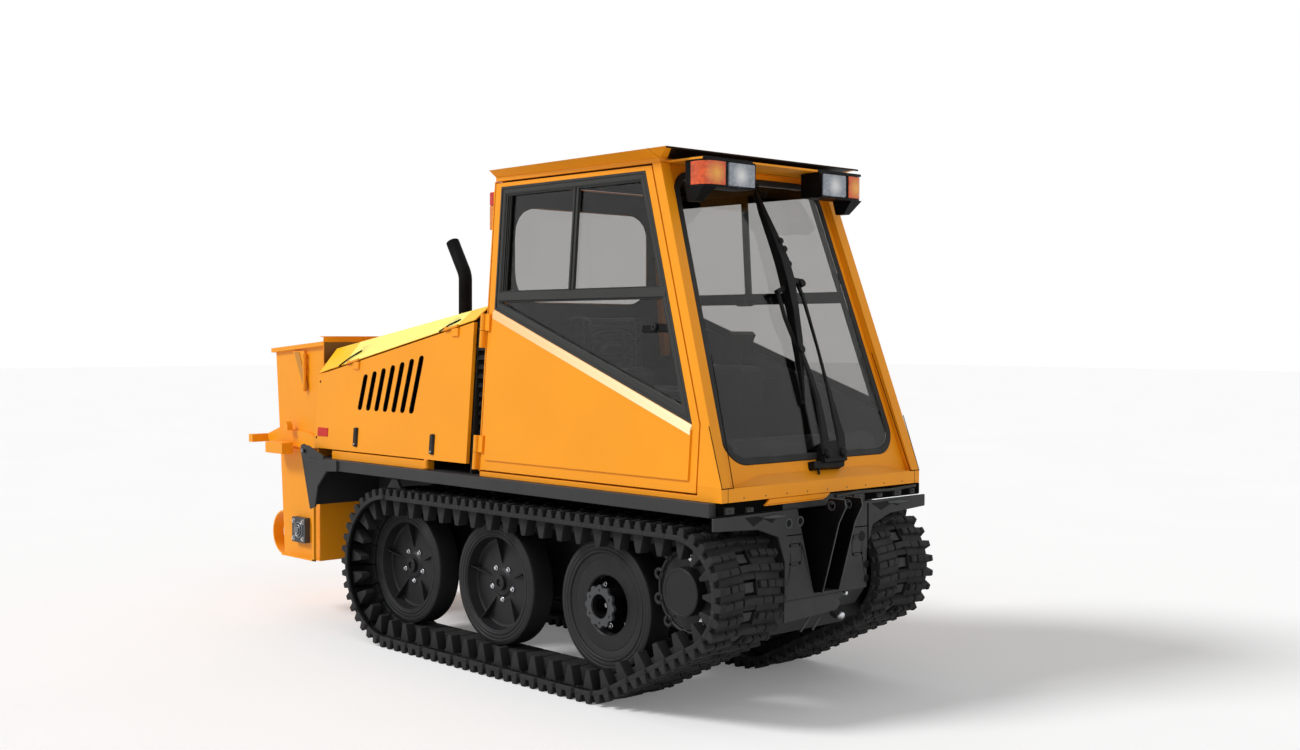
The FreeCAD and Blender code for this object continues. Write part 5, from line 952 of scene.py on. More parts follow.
def make_roof_trim():
    """Dark strips along the roof's front edge and its ledge, a near-black sheet of painted shade under the
    front overhang, and two drain marks.
    """
    build = Build(HOUSING, SHADE_AND_SEAM_BLACK)
    high = HIGH["roof"]
    face = at(NOSE, out=high.x)
    build.block((-high.y + 0.002, high.y - 0.002), (high.z - 0.0075, high.z - 0.0005), -0.006, -0.0003, face,
                HOUSING, 0.001)
    # A near-black sheet on the underside of the front overhang: painted shade.
    fascia = basis((high.x, 0, high.z), (0, 1, 0), (0.11, 0, 0.03))
    build.slab([(-0.47, -0.112), (0.47, -0.112), (0.545, -0.009), (-0.545, -0.009)], 0.0004, 0.0024, fascia,
               HOUSING, 0.001)
    top, front = HIGH["work_light_right"].z + 0.009, HIGH["eave_frame"].x
    build.block((-0.5, 0.5), (LOW["eave_frame"].z + 0.001, top - 0.01), 0.0004, 0.002,
                at(NOSE, out=EAVE_FRONT), HOUSING, 0.0005)
    for side in (-1, 1):
        across = side * 0.197, side * (-LOW["work_light_right"].y + 0.0006)
        build.block((EAVE_FRONT + 0.09, front + 0.0008), across, top + 0.0003, top + 0.0018, PLAN, HOUSING,
                    0.0005)
        build.block(across, (top - 0.009, top + 0.0015), front + 0.0002, front + 0.0014, NOSE, HOUSING,
                    0.0004)
    for y in (0.083, 0.134):
        build.block((1.3, 1.306), (y - 0.004, y + 0.004), top, top + 0.018, PLAN, SHADE_AND_SEAM_BLACK, 0.0005)
    for side in (-1, 1):
        build.line((side * 0.509, 0.0), (side * 0.575, 0.03), 0.002, -0.0006, 0.0004,
                   at(NOSE, 0, EAVE, high.x - 0.11), SHADE_AND_SEAM_BLACK)
    build.done("roof_trim_and_shade", "body_paint", edge=0.0008)


def make_work_lights():
    """Twin headlamps: a black shell, clear inner lens and an amber lens around the outer corner."""
    low, high = LOW["work_light_right"], HIGH["work_light_right"]
    face = at(NOSE, out=high.x)
    depth, outer, inner = high.x - low.x, low.y, high.y
    foot, top = low.z + 0.004, high.z
    build = Build(HOUSING, MIRROR_BOWL, CLEAR, AMBER)
    build.slab(inset(rounded(rect(outer, inner, foot, top), 0.009), 0.001), -depth, -0.05, face)
    front = rounded(rect(outer + 0.1, inner, foot, top), 0.009)
    build.band(front, inset(front, 0.005), -0.051, -0.0005, face)
    corner = [(high.x - back, outer + y) for back, y in (
        (0.088, 0.0004), (0.05, 0.0004), (0.022, 0.008), (0.006, 0.026), (0, 0.052), (0, 0.11),
        (0.088, 0.11))]
    for rise in (foot, top - 0.006):
        build.slab(corner, rise, rise + 0.0075, PLAN, HOUSING, 0.001)
    split, clear = outer + 0.106, outer + 0.122
    build.block((split, clear), (low.z + 0.008, top - 0.003), -0.034, -0.002, face, HOUSING, 0.001)
    build.add([section(outer, outer + 0.07, low.z + 0.006, -0.012, -depth),
               section(outer + 0.012, outer + 0.05, low.z - 0.05, -0.07, -depth)], face)
    for offset in (-0.034, 0.034):
        bulb = at(face, (clear + inner) / 2 - 0.002 + offset, (low.z + top) / 2 + 0.002)
        build.lathe([(0.0, -0.031), (0.01, -0.0305), (0.022, -0.026), (0.03, -0.018), (0.033, -0.008),
                     (0.031, -0.006), (0.028, -0.018), (0.02, -0.025), (0.01, -0.028), (0.0, -0.029)],
                    bulb, MIRROR_BOWL)
        build.lathe([(0, -0.029), (0.006, -0.029), (0.007, -0.016), (0.004, -0.011), (0, -0.0105)],
                    bulb, MIRROR_BOWL, 16)
    build.block((clear + 0.001, inner - 0.007), (low.z + 0.012, top - 0.008), -0.033, -0.0305, face,
                MIRROR_BOWL, 0.001)
    build.slab(rounded(rect(clear + 0.001, inner - 0.006, low.z + 0.011, top - 0.006), 0.008),
               -0.005, 0.0022, face, CLEAR, 0.0015)
    reach = 0.05
    skin = [(high.x - 0.086, outer + 0.0008)]
    for i in range(9):
        angle = math.radians(90 * i / 8)
        skin.append((high.x - reach + (reach + 0.0015) * math.sin(angle),
                     outer + reach - (reach - 0.0006) * math.cos(angle)))
    skin.append((high.x + 0.0015, split - 0.001))
    plan = skin + [(x - 0.004, y + (0.004 if y < split - 0.01 else 0)) for x, y in reversed(skin)]
    build.slab(plan, low.z + 0.012, top - 0.006, PLAN, AMBER)
    build.block((outer + 0.02, split - 0.002), (low.z + 0.014, top - 0.008), -0.0495, -0.03, face,
                MIRROR_BOWL, 0.004)
    both(build, "headlamp", "lamp_housing", replaces=["work_light_"], edge=0.001)


def make_tail_lamps():
    """Tall lamps on the cab's rear corners: red above amber, in a painted base."""
    low, high = LOW["tail_lamps"], HIGH["tail_lamps"]
    build = Build(PAINT, RED, ORANGE, BLACK)
    inner, outer, split = 0.04 - high.y, -high.y, low.z + 0.108
    body, nose = (low.x + 0.006, high.x - 0.009), (low.x, low.x + 0.007)
    build.block((high.x - 0.01, high.x), (inner, outer), low.z, high.z, PLAN, PAINT, 0.002)
    for material, bottom, nose_bottom, top, nose_top in (
            (ORANGE, low.z + 0.002, low.z + 0.004, split, split),
            (RED, split + 0.002, split + 0.002, high.z - 0.002, high.z - 0.004)):
        build.block(body, (inner - 0.002, outer + 0.001), bottom, top, PLAN, material)
        build.block(nose, (inner - 0.004, outer + 0.003), nose_bottom, nose_top, PLAN, material)
    build.block((low.x + 0.008, high.x - 0.009), (inner - 0.004, outer + 0.004), split - 0.002, split + 0.004,
                PLAN, BLACK)
    other = build.mirrored()
    for shape, side in ((build, "right"), (other, "left")):
        shape.done(f"tail_lamp_{side}", "lamp_housing", replaces=["tail_lamps"], edge=0.002)


# ----------------------------------------------------------------------- cab inside

def make_linings():
    """Headliner, rear wall lining and pillar covers, all dark."""
    build = Build(HEADLINER, TRIM)
    build.block((CAB_REAR + 0.05, EAVE_FRONT - 0.045), (-0.495, 0.495), EAVE - 0.0245, EAVE - 0.0185, PLAN,
                HEADLINER, 0.003)
    for i in range(4):
        x = CAB_REAR + 0.2 + 0.24 * i
        build.block((x, x + 0.012), (-0.47, 0.47), EAVE - 0.028, EAVE - 0.024, PLAN, HEADLINER, 0.002)
    wide, narrow, rise = 0.52, 0.432, EAVE - BASE_TOP - 0.026
    half = HIGH["rear_glass"].y + 0.004
    low, high = LOW["rear_glass"].z - BASE_TOP - 0.004, HIGH["rear_glass"].z - BASE_TOP + 0.004
    build.band(rounded([(-wide, 0.004), (wide, 0.004), (narrow, rise), (-narrow, rise)], 0.002),
               rounded(rect(-half, half, low, high), 0.14), 0.0, 0.0045,
               at(NOSE, 0, BASE_TOP, CAB_REAR + 0.0004), TRIM)
    reach = 1.2
    for side in (-1, 1):
        pillar = basis((CAB_FRONT - 0.048, side * CAB_HALF, BASE_TOP), (1, 0, 0),
                       (0, side * -math.sin(LEAN), math.cos(LEAN)))
        build.slab([(-0.006, 0.002), (-0.0006, 0.002), (-0.0006 - reach * RAKE_SLOPE, reach),
                    (-0.006 - reach * RAKE_SLOPE, reach)], *sorted((side * 0.0375, side * 0.0525)), pillar,
                    TRIM)
    build.done("cab_linings", "frame_black", edge=0.0008)


def make_cab_fittings():
    """Floor mat, dashboard, pedals, console tops with keys, screen and armrests, and the joystick."""
    build = Build(MAT, TRIM, BLACK, STEEL)
    build.block((0.86, 1.5), (-0.44, 0.44), BASE_TOP + 0.0002, BASE_TOP + 0.008, PLAN, MAT, 0.003)
    for i in range(24):
        y = -0.41 + 0.0357 * i
        build.block((0.89, 1.47), (y - 0.006, y + 0.006), BASE_TOP + 0.0075, BASE_TOP + 0.0115, PLAN, MAT,
                    0.002)
    dash = [(x, BASE_TOP + z) for x, z in ((1.5, 0), (1.61, 0), (1.585, 0.14), (1.56, 0.17), (1.5, 0.15))]
    build.slab(rounded(dash, 0.03), -0.43, 0.43, FLANK, TRIM)
    pedal = [(x, BASE_TOP + z) for x, z in (
        (1.36, 0.03), (1.42, 0.03), (1.47, 0.15), (1.455, 0.155), (1.4, 0.05), (1.36, 0.04))]
    for y in (-0.13, 0.13):
        build.slab(rounded(pedal, 0.008), y - 0.04, y + 0.04, FLANK, BLACK)
    low, high = LOW["consoles"], HIGH["consoles"]
    crown = high.z
    for side in (-1, 1):
        y = side * (high.y - 0.075)
        build.slab(rounded(rect(low.x + 0.02, high.x - 0.02, y - 0.062, y + 0.062), 0.03), crown,
                   crown + 0.008, PLAN, BLACK, 0.004)
        build.slab(rounded(rect(low.x + 0.03, low.x + 0.32, y - 0.045, y + 0.045), 0.03), crown + 0.007,
                   crown + 0.05, PLAN, TRIM, 0.014)
        for i in range(3):
            for j in range(2):
                x = low.x + 0.36 + 0.035 * i
                build.block((x, x + 0.026), (y - 0.034 + 0.038 * j, y - 0.008 + 0.038 * j), crown + 0.007,
                            crown + 0.013, PLAN, STEEL if (i, j) == (1, 0) else TRIM, 0.002)
    x, y = low.x + 0.5, high.y - 0.04
    build.slab(rounded(rect(-0.08, 0.08, -0.05, 0.06), 0.01), -0.02, 0.004,
               basis((x, y, crown + 0.1), (0, 1, 0), (0.5, 0, 0.85)), BLACK, 0.002)
    build.tube([(x, y, crown), (x, y, crown + 0.07)], 0.012, BLACK)
    build.done("cab_fittings", "frame_black", edge=0.0012)
    stick = Build(BLACK, SEAL)
    centre = middle("control_lever")
    boot = at(PLAN, centre.x, centre.y, LOW["control_lever"].z)
    profile = [(0, 0.0), (0.036, 0.0)]
    for i in range(4):
        profile += [(0.034 - 0.006 * i, 0.006 + 0.01 * i), (0.028 - 0.006 * i, 0.011 + 0.01 * i)]
    stick.lathe(profile + [(0.008, 0.05), (0, 0.05)], boot, SEAL, 28)
    stick.lathe([(0, 0.045), (0.008, 0.045), (0.008, 0.075), (0.017, 0.085), (0.02, 0.11), (0.018, 0.135),
                 (0.021, 0.147), (0.012, 0.15), (0, 0.15)], boot, BLACK, 24)
    stick.done("joystick", "frame_black", replaces=["control_lever"], edge=0.0008)


# How far a pad's sides pull in and its face swells, and where its bolsters start.
PINCH, CROWN, BOLSTER = 0.05, 0.16, 0.72


def crowned(name, low, high, channels, axis):
    """A padded form: sides pull in between its corners, faces swell, then sewn channels are pressed in."""
    low, high = Vector(low), Vector(high)
    centre, half = (low + high) / 2, (high - low) / 2
    mesh = bmesh.new()
    bmesh.ops.create_cube(mesh, size=2.0)
    bmesh.ops.subdivide_edges(mesh, edges=mesh.edges[:], cuts=13, use_grid_fill=True)
    for vert in mesh.verts:
        u, v, w = vert.co
        soft = 1 - 0.035 * (abs(u) ** 6 + abs(v) ** 6) * (abs(w) ** 6) - 0.03 * (abs(u) ** 8 * abs(v) ** 8)
        bulge = [PINCH * (1 - u * u), PINCH * (1 - v * v), PINCH * (1 - w * w)]
        shape = Vector((u * (1 - bulge[1] * 0.5 - bulge[2] * 0.3), v * (1 - bulge[0] * 0.5 - bulge[2] * 0.3),
                        w))
        shape[axis] *= 1 - CROWN * (1 - (1 - [v, u, u][axis] ** 2) * (1 - [w, w, v][axis] ** 2))
        vert.co = centre + Vector((shape.x * half.x, shape.y * half.y, shape.z * half.z)) * soft
    data = bpy.data.meshes.new(name)
    mesh.to_mesh(data)
    mesh.free()
    item = placed(name, data)
    puff(item)
    press_channels(item, low, high, channels, axis)
    for material in (SEAT, SEAT_SIDE):
        item.data.materials.append(material)
    for face in item.data.polygons:
        face.use_smooth = True
        face.material_index = int(abs(face.center.y - centre.y) / half.y > BOLSTER)
    smooth = item.modifiers.new("smooth", "SUBSURF")
    smooth.levels = smooth.render_levels = 1
    return item


def settled(item):
    """Applies the item's modifiers to its mesh."""
    graph = bpy.context.evaluated_depsgraph_get()
    data = bpy.data.meshes.new_from_object(item.evaluated_get(graph))
    item.modifiers.clear()
    item.data = data


SEAM_DEPTH, SEAM_WIDTH = 0.009, 0.007
PUFF_FRAMES = 20
PUFF_PRESSURE = 4.0
PUFF_CAP = 0.012


def puff(item):
    """Swells a closed pad by simulation, each point held near its start."""
    even = item.modifiers.new("even", "REMESH")
    even.mode = "VOXEL"
    even.voxel_size = 0.006
    settled(item)
    start = [vert.co.copy() for vert in item.data.vertices]
    cloth = item.modifiers.new("cloth", "CLOTH")
    cloth.settings.use_pressure = True
    cloth.settings.uniform_pressure_force = PUFF_PRESSURE
    cloth.settings.effector_weights.gravity = 0.0
    for number in range(1, PUFF_FRAMES + 1):
        bpy.context.scene.frame_set(number)
    settled(item)
    for vert, first in zip(item.data.vertices, start):
        moved = vert.co - first
        if moved.length > PUFF_CAP:
            vert.co = first + moved.normalized() * PUFF_CAP


def press_channels(item, low, high, channels, axis):
    """Presses sewn channels and two long seams into the face of the pad that shows."""
    run = 0 if axis == 2 else 2
    centre = (low[axis] + high[axis]) / 2
    for vert in item.data.vertices:
        share = max(0.0, (vert.co[axis] - centre) / (high[axis] - centre))
        for place in channels:
            vert.co[axis] -= SEAM_DEPTH * math.exp(-((vert.co[run] - place) / SEAM_WIDTH) ** 2) * share
        side = (abs(vert.co.y) - (high[1] - 0.068)) / 0.005
        vert.co[axis] -= SEAM_DEPTH * 0.8 * math.exp(-side * side) * share


def make_seat():
    """Padded cushion and backrest with side bolsters, and the bellows round the seat's base."""
    low, high = LOW["seat"], HIGH["seat"]
    step = low.z + 0.11
    cushion = crowned("seat_cushion", (low.x + 0.1, low.y + 0.008, low.z + 0.006),
                      (high.x - 0.006, high.y - 0.008, step), [low.x + 0.22 + 0.085 * i for i in range(4)], 2)
    back = crowned("seat_backrest", (low.x + 0.006, low.y + 0.014, low.z + 0.07),
                   (low.x + 0.108, high.y - 0.014, high.z - 0.006),
                   [step + 0.07 + 0.07 * i for i in range(4)], 0)
    for piece, fill in ((cushion, 0.75), (back, 0.7)):
        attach(piece, "chassis")
        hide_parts("seat")
    bellows = Build(BLACK)
    low, high = LOW["seat_base"], HIGH["seat_base"]
    outer, inner = (rounded(rect(low.x - out, high.x + out, low.y - out, high.y + out), 0.01)
                    for out in (0.001, -0.004))
    for i in range(5):
        rise = low.z + 0.03 + 0.035 * i
        bellows.band(outer, inner, rise, rise + 0.018, PLAN)
    bellows.done("seat_bellows", "frame_black", edge=0.003)


# ---------------------------------------------------------------------------- hood

SLOTS = 7
SLOT_START, SLOT_PITCH, SLOT_WIDTH = 0.389, 0.073, 0.03
SLOT_LOW, SLOT_RISE, SLOT_GROWTH = 0.201, 0.168, 0.016
SLOT_LEAN = math.tan(math.radians(13))


def make_hood_panel_trim():
    """Rounded slot ends, painted shade in near black inside, round and behind the slots, rubber latches,
    reflector and small holes.
    """
    rear = HOOD_REAR - CAB_REAR
    ends = Build(PAINT)
    build = Build(SHADE_AND_SEAM_BLACK, SEAL, ZINC, REFLECTOR, CHASSIS)
    for i in range(SLOTS):
        x, rise = rear + SLOT_START + i * SLOT_PITCH, SLOT_RISE + SLOT_GROWTH * i
        shift = rise * SLOT_LEAN
        corners = [(x, SLOT_LOW), (x + SLOT_WIDTH, SLOT_LOW), (x + SLOT_WIDTH + shift, SLOT_LOW + rise),
                   (x + shift, SLOT_LOW + rise)]
        arcs = rounded(corners, 0.0135, 4)
        for k, corner in enumerate(corners):
            ends.slab([corner] + arcs[5 * k:5 * k + 5][::-1], -0.0045, 0.0, SIDE)
        # Near-black walls and a thin rim round each slot: painted shade.
        build.band(arcs, inset(arcs, 0.0012), -0.0228, -0.0005, SIDE)
        build.band(inset(arcs, -0.0034), arcs, -0.0003, 0.0005, SIDE)
    # A near-black sheet behind the slots: painted shade inside the hood.
    build.slab([(rear + 0.34, 0.17), (rear + 1.0, 0.17), (rear + 1.0, 0.495), (rear + 0.34, 0.395)],
               -0.0262, -0.0225, SIDE)
    for i in range(4):
        start = rear + SLOT_START + SLOT_PITCH * (3 + i) - 0.012
        build.block((start, start + SLOT_PITCH - 0.01), (0.204, 0.225 + 0.03 * i), -0.0228, -0.0205, SIDE,
                    CHASSIS, 0.002)
    for x in (-0.998, -0.359):
        pad = rounded(rect(x - 0.0145, x + 0.0145, 0.018, 0.112), 0.006)
        build.slab(pad, 0.0, 0.006, SIDE, SEAL, 0.0015)
        build.slab(inset(pad, 0.0055), 0.0055, 0.0105, SIDE, CHASSIS, 0.0015)
        for i in range(6):
            build.block((x - 0.0085, x + 0.0085), (0.045 + 0.009 * i, 0.048 + 0.009 * i), 0.01, 0.0122, SIDE,
                        SEAL, 0.0005)
        build.disc((x, 0.031), 0.0042, 0.01, 0.0135, SIDE, ZINC, 14)
    build.slab(rounded(rect(-1.353, -1.258, 0.0545, 0.0975), 0.003), 0.0, 0.0035, SIDE, REFLECTOR, 0.001)
    for place in ((-1.359, 0.327), (-1.366, 0.046)):
        build.disc(place, 0.0065, -0.001, 0.0006, SIDE, SHADE_AND_SEAM_BLACK, 14, 0.0002)
    both(ends, "hood_slot_ends", "body_paint", "hood_panel_", edge=0)
    both(build, "hood_panel_trim", "frame_black", "hood_panel_", edge=0.0006)


def hood_edge(x):
    """The bevel's lower and upper edge on the hood's right side."""
    share = (x + 0.926) / 1.06
    return (Vector((x, -0.57 + 0.016 * share, 1.324 + 0.216 * share)),
            Vector((x, -0.466, 1.44 + 0.167 * share)))


def make_hood_bevels():
    """Painted highlights in paler paint on the bevels between sides and top, and the panels' wire hinges."""
    build = Build(PAINT_BEVEL_HIGHLIGHT, PAINT_SUNLIT, EXHAUST)
    lift = Vector((0, -0.744, 0.667))
    for material, start, end in ((PAINT_SUNLIT, -1.15, -0.926), (PAINT_BEVEL_HIGHLIGHT, -0.926, 0.0),
                                 (PAINT_SUNLIT, 0.0, HOOD_FRONT - 0.004)):
        rings = []
        for i in range(5):
            low, high = hood_edge(start + (end - start) * i / 4)
            low, high = low.lerp(high, 0.02), low.lerp(high, 0.98)
            rings.append([low + lift * 0.0004, low + lift * 0.0018, high + lift * 0.0018,
                          high + lift * 0.0004])
        build.add(rings, WORLD, material)
    for start, end in ((-0.96, -0.83), (-0.13, -0.02)):
        first, last = hood_edge(start)[0], hood_edge(end)[0].lerp(hood_edge(end)[1], 0.45)
        build.tube([first + lift * 0.004, first.lerp(last, 0.5) + lift * 0.008, last + lift * 0.004], 0.0035,
                   EXHAUST)
    both(build, "hood_bevel_highlight", "body_paint", edge=0.0005)


def make_hood_gap():
    """Pleated rubber seal between hood and cab over a near-black block of painted shade, and a peg beside it
    on each side.
    """
    build = Build(SHADE_AND_SEAM_BLACK, JET, PAINT)
    # A near-black block behind the pleats: painted shade in the gap.
    build.block((0.142, 0.21), (-0.54, 0.54), 0.868, 1.49, PLAN)
    for i in range(15):
        build.block((0.138, 0.216), (-0.548, 0.548), 0.872 + 0.041 * i, 0.893 + 0.041 * i, PLAN, JET, 0.007)
    for side in (-1, 1):
        for bottom, top, radius in ((0.866, 0.905, 0.012), (0.864, 0.872, 0.016)):
            build.tube([(-0.178, side * 0.597, bottom), (-0.178, side * 0.597, top)], radius, PAINT, 20)
    build.done("hood_gap_bellows", "frame_black", edge=0.001)


# ---------------------------------------------------------------------- front plate

def make_front_plate_details():
    """Recess, seams, holes, wings and lower apron of the plate that carries the hooks, the recess, holes and
    wing notches drawn black as painted shade.
    """
    build = Build(SHADE_AND_SEAM_BLACK, CHASSIS, ZINC, CASTING, JET, PAD)
    # A black sheet in the recess between the hooks: painted shade.
    build.slab([(-0.078, 0.468), (0.078, 0.468), (0.177, 0.8), (-0.177, 0.8)], -0.1195, -0.092, CAB_FACE, JET)
    for start, end, width in (((-0.24, 0.708), (-0.136, 0.706), 0.004),
                              ((0.155, 0.706), (0.251, 0.705), 0.004),
                              ((0.255, 0.797), (0.257, 0.612), 0.008)):
        build.line(start, end, width, -0.001, 0.0008, CAB_FACE)
    # The holes here and below are black discs: painted shade.
    for place in ((-0.229, 0.755), (-0.162, 0.758)):
        build.disc(place, 0.014, -0.001, 0.0008, CAB_FACE, JET, 24, 0.0002)
        build.washer(place, 0.0135, 0.02, 0.0, 0.0025, CAB_FACE, CASTING)
    for *place, radius in ((0.217, 0.666, 0.021), (0.162, 0.662, 0.006), (0.248, 0.55, 0.017),
                           (0.248, 0.492, 0.017)):
        build.disc(place, radius, -0.001, 0.0008, CAB_FACE, JET, 24, 0.0002)
    apron = [(-0.25, 0.452), (0.1, 0.452), (0.113, 0.446), (0.078, 0.43), (0.088, 0.408), (0.062, 0.385),
             (-0.25, 0.372)]
    build.slab(apron, -0.01, -0.003, CAB_FACE, PAD, 0.001)
    build.slab([(0.06, 0.4), (0.15, 0.33), (0.26, 0.33), (0.33, 0.39), (0.33, 0.52), (0.06, 0.52)],
               -0.09, -0.06, CAB_FACE, JET, 0.003)
    build.block((-0.25, 0.1), (0.45, 0.456), -0.006, 0.0, CAB_FACE, CHASSIS, 0.001)
    for y, z, size in ((0.096, 0.36, 0.016), (0.12, 0.446, 0.01)):
        build.lathe([(0, -0.012), (size, -0.012), (size, -0.004), (size * 0.7, 0.004), (0, 0.007)],
                    at(CAB_FACE, y, z), ZINC, 24)
    for start, end in (((-0.065, 0.374), (-0.105, 0.315)), ((-0.008, 0.362), (-0.034, 0.312))):
        build.tube([(CAB_FRONT - 0.03, *start), (CAB_FRONT - 0.045, *end)], 0.0045, CASTING)
    # Black V notches drawn flat on the wings: painted shade.
    for outline in ([(-0.474, 0.796), (-0.429, 0.76), (-0.372, 0.785), (-0.4, 0.797)],
                    [(-0.372, 0.785), (-0.323, 0.764), (-0.296, 0.785)],
                    [(0.278, 0.794), (0.342, 0.761), (0.409, 0.785), (0.38, 0.797)],
                    [(0.409, 0.785), (0.45, 0.772), (0.49, 0.79)]):
        build.slab(outline, -0.001, 0.0008, CAB_FACE, JET)
    for start, end in ((-0.375, -0.252), (0.385, 0.52)):
        build.tube([(CAB_FRONT + 0.002, start, 0.79), (CAB_FRONT + 0.004, (start + end) / 2, 0.788),
                    (CAB_FRONT + 0.002, end, 0.785)], [0.003, 0.008, 0.003], CASTING)
    build.done("front_plate_details", "chassis_grey", edge=0.0008)


def make_hook_edges():
    """Lighter strips along the hitch hooks' edges as painted highlights, and rings round their bore."""
    build = Build(CASTING)
    # Lighter strips along the edges: painted highlight.
    path = [(1.749, 0.842), (1.8236, 0.842), (1.829, 0.815), (1.7939, 0.749), (1.7467, 0.5816), (1.714, 0.47)]
    for side in (-0.05, 0.05):
        build.ribbon(path, 0.0032, 0.0012, side)
        for y in (side - 0.0062, side + 0.005):
            build.washer((1.761, 0.815), 0.0145, 0.019, -0.0012, 0.0, at(FLANK, out=-y))
    build.done("hook_edge_highlights", "chassis_grey", edge=0)


# ------------------------------------------------------------------- rear spreader

def make_hopper_shade():
    """The shaded front of the hopper's front board, above the hood's low rear end."""
    build = Build(PAINT_SHADE)
    low, high = LOW["hopper_front_board"], HIGH["hopper_front_board"]
    build.slab(rect(low.y + 0.003, high.y - 0.003, low.z + 0.02, high.z - 0.03), -0.0002, 0.0012,
               at(NOSE, out=high.x), PAINT_SHADE, 0.0005)
    build.done("hopper_board_shade", "body_paint", edge=0)


def make_spreader_details():
    """Lug rings with the lug's gusset in darker paint as painted shade, hinge pins, flanges, bearing bolts
    and the tube stub of the rear spreader.
    """
    build = Build(PAINT, ZINC, STEEL, PAINT_LUG_SHADE)
    bearing = middle("flange_bearings")
    hub = at(FLANK, bearing.x, bearing.z, HIGH["flange_bearings"].y)
    for inner, outer, high in ((0.004, 0.018, 0.012), (0.022, 0.03, 0.008), (0.036, 0.043, 0.004)):
        build.washer((0, 0), inner, outer, -0.002, high, hub, STEEL)
    for x in (-0.045, 0.045):
        for y in (-0.045, 0.045):
            build.bolt(at(hub, x, y), 0.018, ZINC)
    lug = at(FLANK, -1.472, 1.361, 0.51)
    build.washer((0, 0), 0.014, 0.021, -0.001, 0.0035, lug)
    build.disc((0, 0), 0.014, -0.001, 0.001, lug, PAINT, 24, 0.0002)
    # The gusset plate in darker paint: painted shade.
    build.slab(rounded([(-0.03, 0.022), (0.02, 0.024), (0.1, -0.15), (0.094, -0.178), (0.072, -0.178)],
                       0.012),
               0.0004, 0.0036, lug, PAINT_LUG_SHADE, 0.001)
    for bottom, top, radius in ((1.179, 1.377, 0.009), (1.19, 1.206, 0.012), (1.3, 1.316, 0.012),
                                (1.36, 1.376, 0.012)):
        build.tube([(-1.391, -0.516, bottom), (-1.391, -0.516, top)], radius, PAINT, 20)
    build.block((-1.286, -1.268), (0.305, 0.6), 0.524, 0.537, FLANK, PAINT, 0.002)
    build.block((-1.6, -1.268), (0.305, 0.318), 0.524, 0.537, FLANK, PAINT, 0.002)
    build.slab(rounded([(-1.535, 0.972), (-1.49, 0.972), (-1.49, 1.0), (-1.505, 1.02), (-1.528, 1.018)],
                       0.006),
               0.53, 0.56, FLANK, PAINT, 0.002)
    build.block((-1.65, -1.47), (0.848, 0.912), 0.54, 0.602, FLANK, PAINT, 0.004)
    both(build, "spreader_details", "body_paint", edge=0.0012)


def make_fender_details():
    """Chain guard tab under the fender and pins of the rear brackets."""
    build = Build(CHASSIS, SHADE_AND_SEAM_BLACK)
    build.slab(rounded([(-0.52, 0.748), (-0.4, 0.75), (-0.435, 0.795), (-0.48, 0.795)], 0.004), 0.574, 0.586,
               FLANK, CHASSIS, 0.002)
    reach = HIGH["rear_brackets"].y
    build.slab([(-1.196, 0.86), (-1.208, 0.885), (-1.206, 0.902), (-1.192, 0.915), (-1.165, 0.92),
                (-1.127, 0.917),
                (-1.063, 0.894), (-0.99, 0.875), (-0.99, 0.855)], reach - 0.004, reach + 0.002, FLANK,
                CHASSIS, 0.001)
    build.disc((-1.163, 0.888), 0.011, reach, reach + 0.003, FLANK, SHADE_AND_SEAM_BLACK, 20, 0.0003)
    build.washer((-1.163, 0.888), 0.0108, 0.017, reach, reach + 0.0042, FLANK)
    both(build, "fender_details", "chassis_grey", edge=0.001)


# ------------------------------------------------------------------ camera and light

CAMERA_PLACE = (5.4563, -4.5191, 1.4719)
CAMERA_AZIMUTH = math.radians(46.609)
CAMERA_PITCH = math.radians(-1.5065)
CAMERA_ROLL = math.radians(0.148)
CAMERA_LENS, CAMERA_SENSOR = 41.19, 36
WHITE = (1, 1, 1, 1)


def make_camera():
    data = bpy.data.cameras.new("camera")
    data.sensor_width = CAMERA_SENSOR
    data.lens = CAMERA_LENS
    camera = placed("camera", data)
    turn = Matrix.Rotation(CAMERA_AZIMUTH, 4, "Z") @ Matrix.Rotation(math.pi / 2 + CAMERA_PITCH, 4, "X")
    camera.matrix_world = Matrix.Translation(CAMERA_PLACE) @ turn @ Matrix.Rotation(CAMERA_ROLL, 4, "Z")
    bpy.context.scene.camera = camera


def make_sun(name, place, power, spread):
    """Sunlight from this place towards the origin, its disc as wide as spread in degrees."""
    data = bpy.data.lights.new(name, "SUN")
    data.energy, data.angle = power, math.radians(spread)
    lamp = placed(name, data)
    aim = (-Vector(place)).to_track_quat("-Z", "Y").to_matrix().to_4x4()
    lamp.matrix_world = Matrix.Translation(place) @ aim
    lamp.visible_camera = False


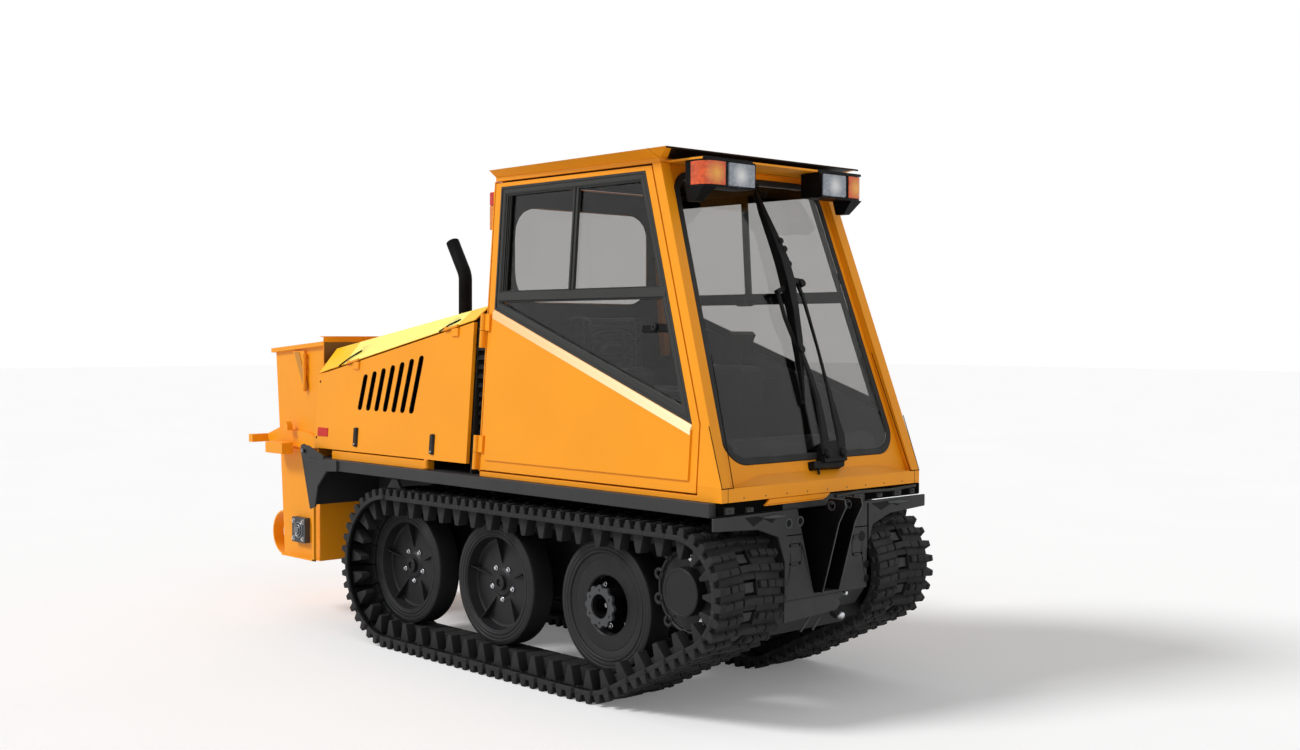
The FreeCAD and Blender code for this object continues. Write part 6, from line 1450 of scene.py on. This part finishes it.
def make_light():
    """Two broad suns, and a white surrounding that is brighter where it is seen than where it lights."""
    make_sun("key", (-3.2, -6.0, 6.2), 2.1, 18)
    make_sun("front_fill", (6.0, -2.0, 3.0), 0.42, 60)
    world = bpy.data.worlds.new("studio")
    bpy.context.scene.world = world
    world.use_nodes = True
    tree = world.node_tree
    back = tree.nodes["Background"]
    back.inputs["Strength"].default_value = 0.4
    bright = tree.nodes.new("ShaderNodeBackground")
    path = tree.nodes.new("ShaderNodeLightPath")
    seen = path.outputs["Is Camera Ray"]
    for ray in ("Is Glossy Ray", "Is Transmission Ray"):
        either = tree.nodes.new("ShaderNodeMath")
        either.operation = "MAXIMUM"
        tree.links.new(seen, either.inputs[0])
        tree.links.new(path.outputs[ray], either.inputs[1])
        seen = either.outputs[0]
    mix = tree.nodes.new("ShaderNodeMixShader")
    for source, target in ((seen, 0), (back.outputs[0], 1), (bright.outputs[0], 2)):
        tree.links.new(source, mix.inputs[target])
    for shader in (back, bright):
        shader.inputs["Color"].default_value = WHITE
    tree.links.new(mix.outputs[0], tree.nodes["World Output"].inputs["Surface"])


def make_floor():
    """White paper under the machine, with a faint glow towards the camera."""
    s = Surface("floor_paper")
    seen = s.add("ShaderNodeLightPath").outputs["Is Camera Ray"]
    glow = s.times(seen, s.ranged(s.noise(0.7, 3.0), 0.3, 0.7, 0.135, 0.145))
    s.set(Base_Color=s.mix(s.ranged(s.noise(0.7, 3.0), 0.3, 0.7), (0.9, 0.9, 0.9), (0.91, 0.91, 0.91)),
          Roughness=s.ranged(s.noise(4.0, 3.0), 0.3, 0.7, 0.85, 0.95), Specular_IOR_Level=0.0,
          Emission_Color=WHITE, Emission_Strength=glow)
    build = Build(s.material)
    build.block((-60, 60), (-60, 60), -0.02, 0, PLAN)
    for face in build.mesh.faces:
        face.smooth = False
    placed("floor", build.data("floor"))


# ---------------------------------------------------------------------------- scene

scene = bpy.context.scene
scene.view_settings.view_transform = "Standard"
make_camera()
make_light()
make_floor()
dress_nodes()
make_track()
make_wheels()
make_drives()
make_windows()
make_door_details()
make_wiper()
make_front_panel()
make_roof_trim()
make_work_lights()
make_tail_lamps()
make_linings()
make_cab_fittings()
make_seat()
make_hood_panel_trim()
make_hood_bevels()
make_hood_gap()
make_front_plate_details()
make_hook_edges()
make_hopper_shade()
make_spreader_details()
make_fender_details()
